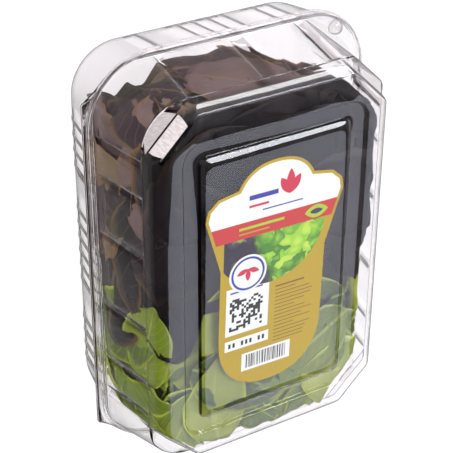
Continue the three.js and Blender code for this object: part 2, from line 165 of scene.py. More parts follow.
class ShaderGraph:
    """A material's node graph while it is put together."""

    def __init__(self, name: str) -> None:
        """Starts an empty material of that name."""
        self.material = bpy.data.materials.new(name)
        self.material.use_nodes = True
        self.tree = self.material.node_tree
        self.tree.nodes.clear()
        self.output = self.tree.nodes.new("ShaderNodeOutputMaterial")

    def add(self, kind: str, inputs: dict | None = None, **settings) -> bpy.types.Node:
        """Adds a node.

        Args:
            kind: The node's type name.
            inputs: Values or output sockets, by input name or number.
            settings: The node's own properties.

        Returns:
            The node.
        """
        node = self.tree.nodes.new(kind)
        for name, value in settings.items():
            setattr(node, name, value)
        for key, value in (inputs or {}).items():
            if isinstance(value, Socket):
                self.tree.links.new(value, node.inputs[key])
            else:
                node.inputs[key].default_value = value
        return node

    def math(self, operation: str, *values: float | Socket) -> Socket:
        """Adds a Math node.

        Args:
            operation: The node's operation.
            values: Numbers or sockets.

        Returns:
            The result's socket.
        """
        return self.add("ShaderNodeMath", dict(enumerate(values)), operation=operation).outputs[0]

    def plus(self, first: float | Socket, second: float | Socket) -> Socket:
        """Returns the sum of two values."""
        return self.math("ADD", first, second)

    def minus(self, first: float | Socket, second: float | Socket) -> Socket:
        """Returns the first value less the second."""
        return self.math("SUBTRACT", first, second)

    def times(self, first: float | Socket, second: float | Socket) -> Socket:
        """Returns the product of two values."""
        return self.math("MULTIPLY", first, second)

    def is_one(self, value: Socket) -> Socket:
        """Returns 1 where a count of bounces is 1, and 0 elsewhere."""
        return self.math("COMPARE", value, 1.0, 0.5)

    def spread(self, value: Socket, low: float, high: float) -> Socket:
        """Returns a value of 0 to 1 turned into one of low to high."""
        return self.add("ShaderNodeMapRange", {"Value": value, "To Min": low, "To Max": high}).outputs[0]

    def ramp(self, value: Socket, low: float, high: float) -> Socket:
        """Returns a socket that rises smoothly from 0 to 1 as value goes from low to high."""
        inputs = {"Value": value, "From Min": low, "From Max": high}
        return self.add("ShaderNodeMapRange", inputs, interpolation_type="SMOOTHSTEP").outputs[0]

    def colours(self, value: Socket, stops: list[tuple[float, Colour]]) -> Socket:
        """Returns a colour that runs through the stops as value goes from 0 to 1.

        Args:
            value: The position on the ramp.
            stops: Position and screen colour of each stop.

        Returns:
            The colour's socket.
        """
        node = self.add("ShaderNodeValToRGB", {"Fac": value})
        elements = node.color_ramp.elements
        while len(elements) < len(stops):
            elements.new(0.5)
        for element, (place, colour) in zip(elements, stops):
            element.position = place
            element.color = linear(colour)
        return node.outputs["Color"]

    def mix(self, share: float | Socket, first: Colour | Socket, second: Colour | Socket) -> Socket:
        """Returns a mix of two colours.

        Args:
            share: How much of the second one shows.
            first: Screen colour or socket.
            second: Screen colour or socket.

        Returns:
            The mixed colour's socket.
        """
        share_place, first_place, second_place = 0, 6, 7
        inputs = {share_place: share}
        for place, colour in ((first_place, first), (second_place, second)):
            inputs[place] = colour if isinstance(colour, Socket) else linear(colour)
        return self.add("ShaderNodeMix", inputs, data_type="RGBA").outputs[2]

    def noise(self, scale: float, detail: float = 3.0, vector: Socket | None = None) -> Socket:
        """Returns a noise of 0 to 1.

        Args:
            scale: Cells in a metre.
            detail: Octaves.
            vector: Where it is read, or None for Object coordinates.

        Returns:
            The noise's socket.
        """
        inputs = {"Vector": vector or self.place(), "Scale": scale, "Detail": detail}
        return self.add("ShaderNodeTexNoise", inputs).outputs[0]

    def place(self) -> Socket:
        """Returns the piece's Object coordinates."""
        return self.add("ShaderNodeTexCoord").outputs["Object"]

    def axes(self, vector: Socket) -> list[Socket]:
        """Returns a vector's three parts."""
        return list(self.add("ShaderNodeSeparateXYZ", {0: vector}).outputs)

    def attribute(self, name: str) -> Socket:
        """Returns a number that the mesh carries under a name."""
        return self.add("ShaderNodeAttribute", attribute_name=name).outputs["Fac"]

    def bump(self, height: Socket, distance: float, strength: float = 1.0) -> Socket:
        """Returns a normal that a height has roughened, with its distance in metres."""
        inputs = {"Height": height, "Distance": distance, "Strength": strength}
        return self.add("ShaderNodeBump", inputs).outputs["Normal"]

    def principled(self, inputs: dict) -> Socket:
        """Adds a Principled shader with these inputs, by name, and returns its socket."""
        return self.add("ShaderNodeBsdfPrincipled", inputs).outputs[0]

    def finish(self, shader: Socket) -> bpy.types.Material:
        """Links the shader to the output and returns the material."""
        self.tree.links.new(shader, self.output.inputs["Surface"])
        return self.material


class WorldGraph(ShaderGraph):
    """The same for a world's node graph."""

    def __init__(self, name: str) -> None:
        """Starts an empty world of that name."""
        self.world = bpy.data.worlds.new(name)
        self.world.use_nodes = True
        self.tree = self.world.node_tree
        self.tree.nodes.clear()
        self.output = self.tree.nodes.new("ShaderNodeOutputWorld")

    def lit(self, colour: Colour, strength: Socket) -> bpy.types.World:
        """Ends in a background of a linear colour and returns the world."""
        background = self.add("ShaderNodeBackground", {"Color": (*colour, 1.0), "Strength": strength})
        self.tree.links.new(background.outputs[0], self.output.inputs["Surface"])
        return self.world


class PieceTree:
    """A Geometry Nodes tree with named inputs, and the modifier that runs it."""

    def __init__(self, name: str) -> None:
        """Starts a tree that takes one geometry and gives one back."""
        self.group = bpy.data.node_groups.new(name, "GeometryNodeTree")
        interface = self.group.interface
        interface.new_socket("Geometry", in_out="INPUT", socket_type="NodeSocketGeometry")
        interface.new_socket("Geometry", in_out="OUTPUT", socket_type="NodeSocketGeometry")
        self.values: dict[str, object] = {}
        self.source = self.group.nodes.new("NodeGroupInput")
        self.result = self.group.nodes.new("NodeGroupOutput")

    def named(self, name: str, kind: str, value: object) -> None:
        """Adds a named input and keeps the value that the modifier gives it.

        Args:
            name: The input's name.
            kind: The socket's type, without its NodeSocket prefix.
            value: The value for this piece.
        """
        socket = self.group.interface.new_socket(name, in_out="INPUT", socket_type=f"NodeSocket{kind}")
        self.values[socket.identifier] = value

    def add(self, kind: str, inputs: dict | None = None, **settings) -> bpy.types.Node:
        """Adds a node.

        Args:
            kind: The node's type name.
            inputs: Values, output sockets or names of the tree's inputs, by input name.
            settings: The node's own properties.

        Returns:
            The node.
        """
        node = self.group.nodes.new(kind)
        for name, value in settings.items():
            setattr(node, name, value)
        for key, value in (inputs or {}).items():
            if isinstance(value, str) and value in self.source.outputs:
                value = self.source.outputs[value]
            if isinstance(value, Socket):
                self.group.links.new(value, node.inputs[key])
            else:
                node.inputs[key].default_value = value
        return node

    def random(self, kind: str, low: object, high: object, seed: int) -> Socket:
        """Returns a random value for each element, from the tree's seed and a number of its own.

        Args:
            kind: FLOAT, INT or FLOAT_VECTOR.
            low: The least value, a number, a vector, a socket or the name of one of the tree's inputs.
            high: The greatest value.
            seed: The number of its own.

        Returns:
            The value's socket.
        """
        added = self.add("ShaderNodeMath", {0: "Seed", 1: seed}, operation="ADD").outputs[0]
        node = self.add("FunctionNodeRandomValue", {"Seed": added}, data_type=kind)
        first = {"FLOAT_VECTOR": 0, "FLOAT": 2, "INT": 4}[kind]
        for place, value in ((first, low), (first + 1, high)):
            if isinstance(value, str):
                value = self.source.outputs[value]
            if isinstance(value, Socket):
                self.group.links.new(value, node.inputs[place])
            else:
                node.inputs[place].default_value = value
        return node.outputs[{"FLOAT_VECTOR": 0, "FLOAT": 1, "INT": 2}[kind]]

    def close(self, instances: Socket) -> None:
        """Ends the tree in Realize Instances and Set Material."""
        made = self.add("GeometryNodeRealizeInstances", {"Geometry": instances}).outputs[0]
        made = self.add("GeometryNodeSetMaterial", {"Geometry": made, "Material": "Finish"}).outputs[0]
        self.group.links.new(made, self.result.inputs[0])

    def run(self, piece: bpy.types.Object) -> bpy.types.Object:
        """Puts the tree on an object, sets its inputs by identifier, and bakes the result.

        Args:
            piece: The object that carries the points.

        Returns:
            The same object with a plain mesh.
        """
        modifier = piece.modifiers.new(self.group.name, "NODES")
        modifier.node_group = self.group
        for identifier, value in self.values.items():
            modifier[identifier] = value
        return baked(piece)


def shapes_collection(name: str, shapes: list[bpy.types.Object]) -> bpy.types.Collection:
    """Gathers the shapes that a tree picks from in a collection outside the scene.

    Args:
        name: The collection's name.
        shapes: The objects, which leave the scene's own collection.

    Returns:
        The collection.
    """
    collection = bpy.data.collections.new(name)
    for shape in shapes:
        bpy.context.scene.collection.objects.unlink(shape)
        collection.objects.link(shape)
    return collection


def hand_over(piece: bpy.types.Object, body: str, slot: str, *nodes: str) -> None:
    """Rides a finished piece on its body and hides the CAD nodes that it stands for.

    Args:
        piece: The piece.
        body: The CAD body that carries it.
        slot: Not used.
        nodes: The CAD nodes it stands for.
    """
    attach(piece, body)
    if nodes:
        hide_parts(*nodes)
    log.info("%s: %d faces, rides on %s", piece.name, len(piece.data.polygons), body)


# Finishes


@dataclass(frozen=True)
class ClearPlastic:
    """Thermoformed clear film, with faint flow lines and a little haze."""

    name: str
    tint: Colour = (252, 250, 251)
    roughness: float = 0.014
    ior: float = 1.42
    haze: float = 0.016
    haze_scale: float = 30.0
    ripple: float = 0.00004
    ripple_scale: float = 38.0

    def material(self) -> bpy.types.Material:
        """Returns glass that lets the light of lamps straight through."""
        graph = ShaderGraph(self.name)
        hazy = graph.noise(self.haze_scale, 1.0)
        film = graph.principled({
            "Base Color": linear(self.tint),
            "Roughness": graph.spread(hazy, self.roughness, self.roughness + self.haze),
            "IOR": self.ior,
            "Transmission Weight": 1.0,
            "Normal": graph.bump(graph.noise(self.ripple_scale, 0.0), self.ripple),
        })
        through = graph.add("ShaderNodeBsdfTransparent", {"Color": linear(self.tint)}).outputs[0]
        in_shadow = graph.add("ShaderNodeLightPath").outputs["Is Shadow Ray"]
        return graph.finish(graph.add("ShaderNodeMixShader", {0: in_shadow, 1: film, 2: through}).outputs[0])


@dataclass(frozen=True)
class FrostAndPaintedHighlight:
    """Milky film: the rough cut edge of the sheet, and a painted highlight on the lid's notch."""

    name: str
    colour: Colour = (222, 214, 214)
    dull: Colour = (188, 178, 180)
    scratch_way: float = 0.6  # radians
    scratch_scale: float = 260.0
    depth: float = 0.00005

    def material(self) -> bpy.types.Material:
        """Returns a milky skin with fine scratches along one way."""
        graph = ShaderGraph(self.name)
        turned = graph.add("ShaderNodeMapping", {
            "Vector": graph.place(), "Rotation": (0, 0, self.scratch_way), "Scale": (1.0, 6.0, 1.0),
        }).outputs[0]
        scratches = graph.noise(self.scratch_scale, 3.0, turned)
        return graph.finish(graph.principled({
            "Base Color": graph.mix(graph.ramp(scratches, 0.35, 0.75), self.dull, self.colour),
            "Roughness": 0.55,
            "IOR": 1.45,
            "Transmission Weight": 0.25,
            "Normal": graph.bump(scratches, self.depth),
        }))


@dataclass(frozen=True)
class LeafFinish:
    """Skin of a salad leaf: a tone of its own, pale ribs, a lighter rim partly painted as glow, soft
    mottling, and painted shade near the heap's top.

    Attributes:
        name: The material's name.
        tones: Colours from the darkest leaf to the lightest.
        rib: The midrib and veins.
        rim: The leaf's rim: its own paler edge with a painted glow of light through the thin edge.
        rim_and_glow_share: How much of the rim's colour shows.
        underside: The back of the leaf.
        patch: Colour of the soft patches.
        patch_share: How much of it shows.
        crown_painted_shade: How much painted shade darkens the leaf towards the heap's top.
        pressed: The colour of that painted shade.
        crown: Heights in metres between which that painted shade sets in.
        mottling: How far clouds move the tone.
        vein_wave: Radians of the veins' wave over the leaf's length.
        vein_slant: How far the veins run towards the tip on their way out.
        vein_depth: Height of their relief in metres.
        roughness: Roughness of the skin.
        specular: Its specular level.
    """

    name: str
    tones: tuple[tuple[float, Colour], ...]
    rib: Colour
    # The rim's colour is the leaf's own paler edge with a painted glow of light through it.
    rim: Colour
    rim_and_glow_share: float
    underside: Colour
    patch: Colour
    patch_share: float
    # The next three paint shade on the leaf, darker towards the heap's top.
    crown_painted_shade: float
    pressed: Colour = (10, 7, 10)
    crown: Point = (0.081, 0.092)
    mottling: float = 0.35
    vein_wave: float = 62.0
    vein_slant: float = 0.32
    vein_depth: float = 0.0001
    roughness: float = 0.42
    specular: float = 0.4

    def material(self) -> bpy.types.Material:
        """Returns the leaf's material, which reads its own map, tone and side."""
        graph = ShaderGraph(self.name)
        along, width, _ = graph.axes(graph.add("ShaderNodeUVMap", uv_map=LEAF_MAP).outputs[0])
        across = graph.math("ABSOLUTE", graph.minus(graph.times(width, 2.0), 1.0))
        clouds = graph.minus(graph.noise(55.0, 4.0), 0.5)
        tone = graph.plus(graph.attribute(LEAF_TONE), graph.times(clouds, self.mottling))
        base = graph.colours(tone, list(self.tones))
        patches = graph.ramp(graph.noise(24.0, 2.0), 0.52, 0.66)
        base = graph.mix(graph.times(patches, self.patch_share), base, self.patch)
        back = graph.ramp(graph.attribute(LEAF_SIDE), 0.2, -0.2)
        base = graph.mix(graph.times(back, 0.45), base, self.underside)
        slanted = graph.minus(along, graph.times(across, self.vein_slant))
        veins = graph.math("SINE", graph.times(slanted, self.vein_wave))
        fine = graph.times(graph.ramp(veins, 0.9, 1.0), 0.35)
        taper = graph.math("DIVIDE", across, graph.minus(1.25, along))
        stem = graph.times(graph.ramp(taper, 0.085, 0.03), 0.8)
        base = graph.mix(graph.math("MAXIMUM", stem, fine), base, self.rib)
        # Lighter rim: partly the leaf's own paler edge, partly painted glow of light through the thin edge.
        rim = graph.ramp(graph.math("MAXIMUM", across, graph.ramp(along, 0.86, 1.02)), 0.86, 1.0)
        base = graph.mix(graph.times(rim, self.rim_and_glow_share), base, self.rim)
        height = graph.axes(graph.place())[2]
        # Painted shade: the leaf darkens towards the heap's top.
        base = graph.mix(graph.times(graph.ramp(height, *self.crown), self.crown_painted_shade), base, self.pressed)
        relief = graph.plus(graph.times(veins, 0.3), graph.noise(140.0, 1.0))
        return graph.finish(graph.principled({
            "Base Color": base,
            "Roughness": self.roughness,
            "Specular IOR Level": self.specular,
            "Normal": graph.bump(relief, self.vein_depth, 0.5),
        }))


@dataclass(frozen=True)
class HeapShade:
    """Deep shade between the leaves, where only dim mottled colour shows."""

    name: str = "deep_leaves"
    dark: Colour = (34, 27, 26)
    green: Colour = (66, 82, 26)
    deepest: Colour = (14, 13, 12)
    border_y: float = -0.03
    border_blur: float = 0.02
    swirl: float = 0.12  # how far the border wanders
    fold_depth: float = 0.002

    def material(self) -> bpy.types.Material:
        """Returns dim brown towards the head end and dim green towards the foot."""
        graph = ShaderGraph(self.name)
        swirl = graph.times(graph.minus(graph.noise(30.0, 4.0), 0.5), self.swirl)
        where = graph.plus(graph.axes(graph.place())[1], swirl)
        to_foot = graph.ramp(where, self.border_y + self.border_blur, self.border_y - self.border_blur)
        folds = graph.noise(70.0, 5.0)
        base = graph.mix(to_foot, self.dark, self.green)
        return graph.finish(graph.principled({
            "Base Color": graph.mix(graph.ramp(folds, 0.62, 0.35), base, self.deepest),
            "Roughness": 0.7,
            "Normal": graph.bump(folds, self.fold_depth),
        }))


@dataclass(frozen=True)
class PrintedPaper:
    """Coated label stock in one field of colour, with a faint grain and gloss."""

    name: str
    colour: Colour
    roughness: float = 0.42
    grain: float = 0.05
    tooth: float = 0.00001

    def material(self) -> bpy.types.Material:
        """Returns the field's material."""
        graph = ShaderGraph(self.name)
        darker = tuple(channel * (1 - self.grain) for channel in self.colour)
        return graph.finish(graph.principled({
            "Base Color": graph.mix(graph.noise(900.0, 2.0), darker, self.colour),
            "Roughness": self.roughness,
            "Specular IOR Level": 0.45,
            "Normal": graph.bump(graph.noise(1500.0), self.tooth),
        }))


@dataclass(frozen=True)
class LeafyPrint:
    """Printed field of lime and dark purple leaves, as loose shapes of colour."""

    name: str = "leafy_print"
    lime: tuple[Colour, ...] = ((70, 130, 20), (140, 200, 40), (190, 222, 70))
    purple: tuple[Colour, ...] = ((38, 30, 44), (66, 52, 74), (150, 176, 70))
    warp: float = 0.014
    cells: float = 130.0
    border: Point = (0.002, 0.012)
    border_slant: float = 0.35

    def material(self) -> bpy.types.Material:
        """Returns cells of lime on one side of a wavy border and of purple on the other."""
        graph = ShaderGraph(self.name)
        place = graph.place()
        swirl = graph.add("ShaderNodeTexNoise", {"Vector": place, "Scale": 90.0, "Detail": 2.0})
        warp = {0: swirl.outputs["Color"], "Scale": self.warp}
        bent = graph.add("ShaderNodeVectorMath", warp, operation="SCALE").outputs[0]
        where = graph.add("ShaderNodeVectorMath", {0: place, 1: bent}, operation="ADD").outputs[0]
        cells = graph.add("ShaderNodeTexVoronoi", {"Vector": where, "Scale": self.cells, "Randomness": 1.0})
        pick = graph.axes(cells.outputs["Color"])[0]
        lit = graph.times(graph.ramp(cells.outputs["Distance"], 0.0, 0.7), 0.4)
        shade = graph.minus(graph.plus(pick, 0.15), lit)
        lime = graph.colours(shade, list(zip((0.05, 0.45, 0.95), self.lime)))
        purple = graph.colours(shade, list(zip((0.15, 0.62, 0.86), self.purple)))
        x, y, _ = graph.axes(where)
        side = graph.ramp(graph.plus(x, graph.times(y, self.border_slant)), *self.border)
        return graph.finish(graph.principled({"Base Color": graph.mix(side, purple, lime), "Roughness": 0.4}))


@dataclass(frozen=True)
class WaterFilm:
    """Clear water in small drops under the film."""

    name: str = "water_drop"
    unevenness: float = 0.00001

    def material(self) -> bpy.types.Material:
        """Returns water with a trace of unevenness."""
        graph = ShaderGraph(self.name)
        return graph.finish(graph.principled({
            "Base Color": (0.95, 0.98, 0.96, 1.0),
            "Roughness": 0.02,
            "IOR": 1.33,
            "Transmission Weight": 1.0,
            "Normal": graph.bump(graph.noise(800.0), self.unevenness),
        }))


@dataclass(frozen=True)
class StudioFloor:
    """Matt white sweep with the faintest mottle."""

    name: str = "studio_floor"
    colour: Colour = (128, 128, 128)
    mottle: Colour = (124, 124, 124)
    light: Colour = (255, 255, 255)
    glow: float = 0.92  # the lit table under the pack
    mirrored_glow: float = 0.05  # what the shells mirror of it

    def material(self) -> bpy.types.Material:
        """Returns the floor's material."""
        graph = ShaderGraph(self.name)
        mirrored = graph.is_one(graph.add("ShaderNodeLightPath").outputs["Glossy Depth"])
        return graph.finish(graph.principled({
            "Base Color": graph.mix(graph.noise(3.0), self.mottle, self.colour),
            "Roughness": 0.9,
            "Specular IOR Level": 0.1,
            "Emission Color": linear(self.light),
            "Emission Strength": graph.spread(mirrored, self.glow, self.mirrored_glow),
        }))


# Clear shells


class Corner(Enum):
    """How a level's outline turns its corners."""

    ROUND = "round"
    CUT = "cut"
    STRIP = "strip"


class ShellSlot(Enum):
    """Places of a shell's finishes; the last three are the lid's alone."""

    FILM = 0
    CUT_EDGE = 1
    # painted highlight on the lid's notch
    NOTCH_HIGHLIGHT = 2
    # painted shade on tight bends
    BEND = 3
    # painted shade in the grooves
    GROOVE_SHADE = 4


@dataclass(frozen=True)
class Level:
    """One level outline of a shell, from its middle outwards or down.

    Attributes:
        half: Half sizes across and along.
        z: Height.
        left: Corner form and its size on the hinge side.
        right: The same on the side that opens, or None for the same as left.
        rib: Share of the ribs' full depth.
        fillet: How far the skin's turn at this level is rounded.
    """

    half: tuple[float, float]
    z: float
    left: tuple[Corner, float]
    right: tuple[Corner, float] | None = None
    rib: float = 0.0
    fillet: float = 0.0


@dataclass(frozen=True)
class Ribs:
    """Upright ribs or grooves on a shell's walls."""

    sides: Knots  # place along Y and width
    ends: Knots  # place along X and width
    depth: float  # outwards, or inwards if negative


def stations(ribs: Knots, reach: float) -> np.ndarray:
    """Places of the columns along a straight wall, close together over each rib.

    Args:
        ribs: Place and width of each rib.
        reach: Half the wall's length.

    Returns:
        Places from -reach to reach.
    """
    steps, pitch, clear = 10, 7.0, 1.5
    places = {-reach, reach}
    for at, width in ribs:
        places |= {round(at + width * (k / steps - 0.5), 4) for k in range(steps + 1)}
    places |= {
        float(v) for v in np.arange(-reach, reach, pitch)
        if all(abs(v - at) > 0.5 * width + clear for at, width in ribs)
    }
    return np.array(sorted(p for p in places if abs(p) <= reach))


def rib_height(ribs: Knots, places: np.ndarray) -> np.ndarray:
    """How far the ribs stand out at each place, from 0 to 1."""
    height = np.zeros_like(places)
    for at, width in ribs:
        inside = np.abs(places - at) < 0.5 * width
        height[inside] = np.cos(np.pi * (places[inside] - at) / width) ** 0.6
    return height


def rounded(t: float, start: np.ndarray, middle: np.ndarray, end: np.ndarray) -> np.ndarray:
    """Returns the point at t, from 0 to 1, of the round that leads past middle from start to end."""
    return (1 - t) ** 2 * start + 2 * t * (1 - t) * middle + t * t * end


def fillet_path(points: Polygon, radii: list[float]) -> np.ndarray:
    """Rounds the inner corners of a flat path.

    Args:
        points: The path's corners.
        radii: How far each corner is cut back before it is rounded.

    Returns:
        The rounded path.
    """
    steps = 6
    out = [np.array(points[0])]
    for before, here, after, radius in zip(points, points[1:], points[2:], radii[1:]):
        p, a, b = np.array(here), np.array(before), np.array(after)
        start = p + (a - p) * min(0.5, radius / max(np.linalg.norm(a - p), 1e-6))
        end = p + (b - p) * min(0.5, radius / max(np.linalg.norm(b - p), 1e-6))
        out += [rounded(t, start, p, end) for t in np.linspace(0, 1, steps)]
    out.append(np.array(points[-1]))
    return np.array(out)


@dataclass
class ClearShell:
    """A thermoformed shell, built as one thin sheet through level outlines.

    Attributes:
        name: The piece's name.
        body: The CAD body and node that it stands for.
        ribs: Its ribs or grooves.
        finish: Its film.
        faces_up: Whether its flat face is on top.
        side_reach: Half the straight stretch of the long walls.
        end_reach: Half that of the end walls.
        corner_points: Columns in each corner.
        turn_weight: Length in millimetres that a radian of turn counts for when columns are spaced.
        fillet_steps: Rows in each rounded turn.
        thickness: The film's thickness.
        cut_round: Rounding of a cut corner's two edges.
        strip_x: How far the hinge strip stands out.
        strip_half: Half its length.
        cut_edge: Finish of the film's cut edge.
        hub_rings: Shares of the first outline that make the rings inside it.
    """

    name: str
    body: str
    ribs: Ribs
    finish: ClearPlastic
    faces_up: bool
    side_reach: float = 91.0
    end_reach: float = 49.0
    corner_points: int = 26
    turn_weight: float = 16.0
    fillet_steps: int = 5
    thickness: float = 0.5
    cut_round: float = 3.0
    strip_x: float = 93.7
    strip_half: float = 111.0
    cut_edge: FrostAndPaintedHighlight = FrostAndPaintedHighlight("cut_edge", (236, 233, 230))
    hub_rings: tuple[float, ...] = (0.02, 0.25, 0.5, 0.75, 0.93)

    def arc(self, half: Point, radius: float, turn: np.ndarray) -> np.ndarray:
        """Returns the points of a round corner at these angles."""
        x, y = half
        return np.column_stack([x - radius + radius * np.cos(turn), y - radius + radius * np.sin(turn)])

    def corner(self, level: Level, form: tuple[Corner, float]) -> np.ndarray:
        """One corner of a level in the +X +Y quarter, from the side wall to the end wall.

        Args:
            level: The level.
            form: The corner's form and size.

        Returns:
            The corner's points.
        """
        (x, y), (kind, size) = level.half, form
        side, end = min(self.side_reach, y - size), min(self.end_reach, x - size)
        if kind is Corner.ROUND:
            arc = self.arc(level.half, size, np.linspace(0, np.pi / 2, 25))
            path = np.vstack([[x, side], arc, [end, y]])
        elif kind is Corner.CUT:
            side, end = min(side, y - size - self.cut_round), min(end, x - size - self.cut_round)
            knots = [(x, side), (x, y - size), (x - size, y), (end, y)]
            path = fillet_path(knots, [0, self.cut_round, self.cut_round, 0])
        else:
            arc = self.arc(level.half, size, np.linspace(0.6, np.pi / 2, 18))
            tab = [
                (self.strip_x, self.side_reach),
                (self.strip_x, self.strip_half),
                (x - 1.5, self.strip_half + 0.6),
            ]
            path = np.vstack([fillet_path([*tab, tuple(arc[0])], [0, 1.6, 3.0, 0]), arc[1:], [end, y]])
        lengths = np.linalg.norm(np.diff(path, axis=0), axis=1)
        path = path[np.concatenate([[True], lengths > SAME_POINT])]
        steps = np.diff(path, axis=0)
        lengths = np.linalg.norm(steps, axis=1)
        angles = np.unwrap(np.arctan2(steps[:, 1], steps[:, 0]))
        turns = np.concatenate([[0.0], np.abs(np.diff(angles))])
        measure = np.concatenate([[0.0], np.cumsum(lengths + self.turn_weight * turns)])
        wanted = np.linspace(0, measure[-1], self.corner_points)
        return np.column_stack([np.interp(wanted, measure, path[:, k]) for k in (0, 1)])

    def outline(self, level: Level) -> np.ndarray:
        """The whole outline of a level, anticlockwise from the foot of the side that opens.

        Args:
            level: The level.

        Returns:
            Its points, one row each.
        """
        right, left = self.corner(level, level.right or level.left), self.corner(level, level.left)
        y = level.half[1]
        side = stations(self.ribs.sides, self.side_reach)
        end = stations(self.ribs.ends, self.end_reach)
        side_out = self.ribs.depth * level.rib * rib_height(self.ribs.sides, side)
        end_out = self.ribs.depth * level.rib * rib_height(self.ribs.ends, end)
        right_y, left_y = right[0, 1] / self.side_reach, left[0, 1] / self.side_reach
        end_x = end * np.where(end > 0, right[-1, 0], left[-1, 0]) / self.end_reach
        inner = slice(1, -1)
        walls = [
            np.column_stack([right[0, 0] + side_out, side * right_y])[inner],
            right,
            np.column_stack([end_x, y + end_out])[::-1][inner],
            (left * (-1, 1))[::-1],
            np.column_stack([-left[0, 0] - side_out, side * left_y])[::-1][inner],
            -left,
            np.column_stack([end_x, -y - end_out])[inner],
            (right * (1, -1))[::-1],
        ]
        flat = np.vstack(walls)
        return np.column_stack([flat, np.full(len(flat), level.z)])

    def rows(self, levels: list[Level]) -> list[np.ndarray]:
        """Outlines through all levels, with the skin's turns rounded.

        Args:
            levels: The levels in order.

        Returns:
            One array of points for each row.
        """
        knots = [self.outline(level) for level in levels]
        rows = []
        for k, (level, here) in enumerate(zip(levels, knots)):
            if level.fillet == 0 or k in (0, len(levels) - 1):
                rows.append(here)
                continue
            ends = []
            for other in (knots[k - 1], knots[k + 1]):
                away = other - here
                length = np.maximum(np.linalg.norm(away, axis=1, keepdims=True), 1e-9)
                ends.append(here + away * np.minimum(0.46, level.fillet / length))
            rows += [rounded(t, ends[0], here, ends[1]) for t in np.linspace(0, 1, self.fillet_steps)]
        return rows

    def sheet(self, levels: list[Level]) -> bpy.types.Object:
        """Builds the shell from its levels and gives it its thickness.

        Args:
            levels: The levels from the middle of the flat face outwards.

        Returns:
            The finished shell.
        """
        rows = self.rows(levels)
        middle = [rows[0] * (share, share, 1) for share in self.hub_rings]
        rows = [self.settled(row) for row in (*middle, *rows)]
        count = len(rows[0])
        points = np.vstack([*rows, rows[0].mean(axis=0)])
        points[:, 0] += MIDDLE_X
        faces = []
        for r in range(len(rows) - 1):
            for i in range(count):
                j = (i + 1) % count
                quad = (r * count + i, (r + 1) * count + i, (r + 1) * count + j, r * count + j)
                faces.append(quad if self.faces_up else quad[::-1])
        hub = len(points) - 1
        for i in range(count):
            fan = (hub, i, (i + 1) % count)
            faces.append(fan if self.faces_up else fan[::-1])
        shell = new_object(self.name, points, faces, [self.finish.material(), self.cut_edge.material()])
        work = bmesh.new()
        work.from_mesh(shell.data)
        bmesh.ops.remove_doubles(work, verts=work.verts, dist=SAME_POINT)
        bmesh.ops.dissolve_degenerate(work, edges=work.edges, dist=0.1 * SAME_POINT)
        work.to_mesh(shell.data)
        work.free()
        wall = shell.modifiers.new("wall", "SOLIDIFY")
        wall.thickness = self.thickness * MM
        wall.offset = -1
        wall.material_offset_rim = ShellSlot.CUT_EDGE.value
        return baked(shell)

    def settled(self, row: np.ndarray) -> np.ndarray:
        """Returns a row as the film's slight sag leaves it; a plain shell has none."""
        return row


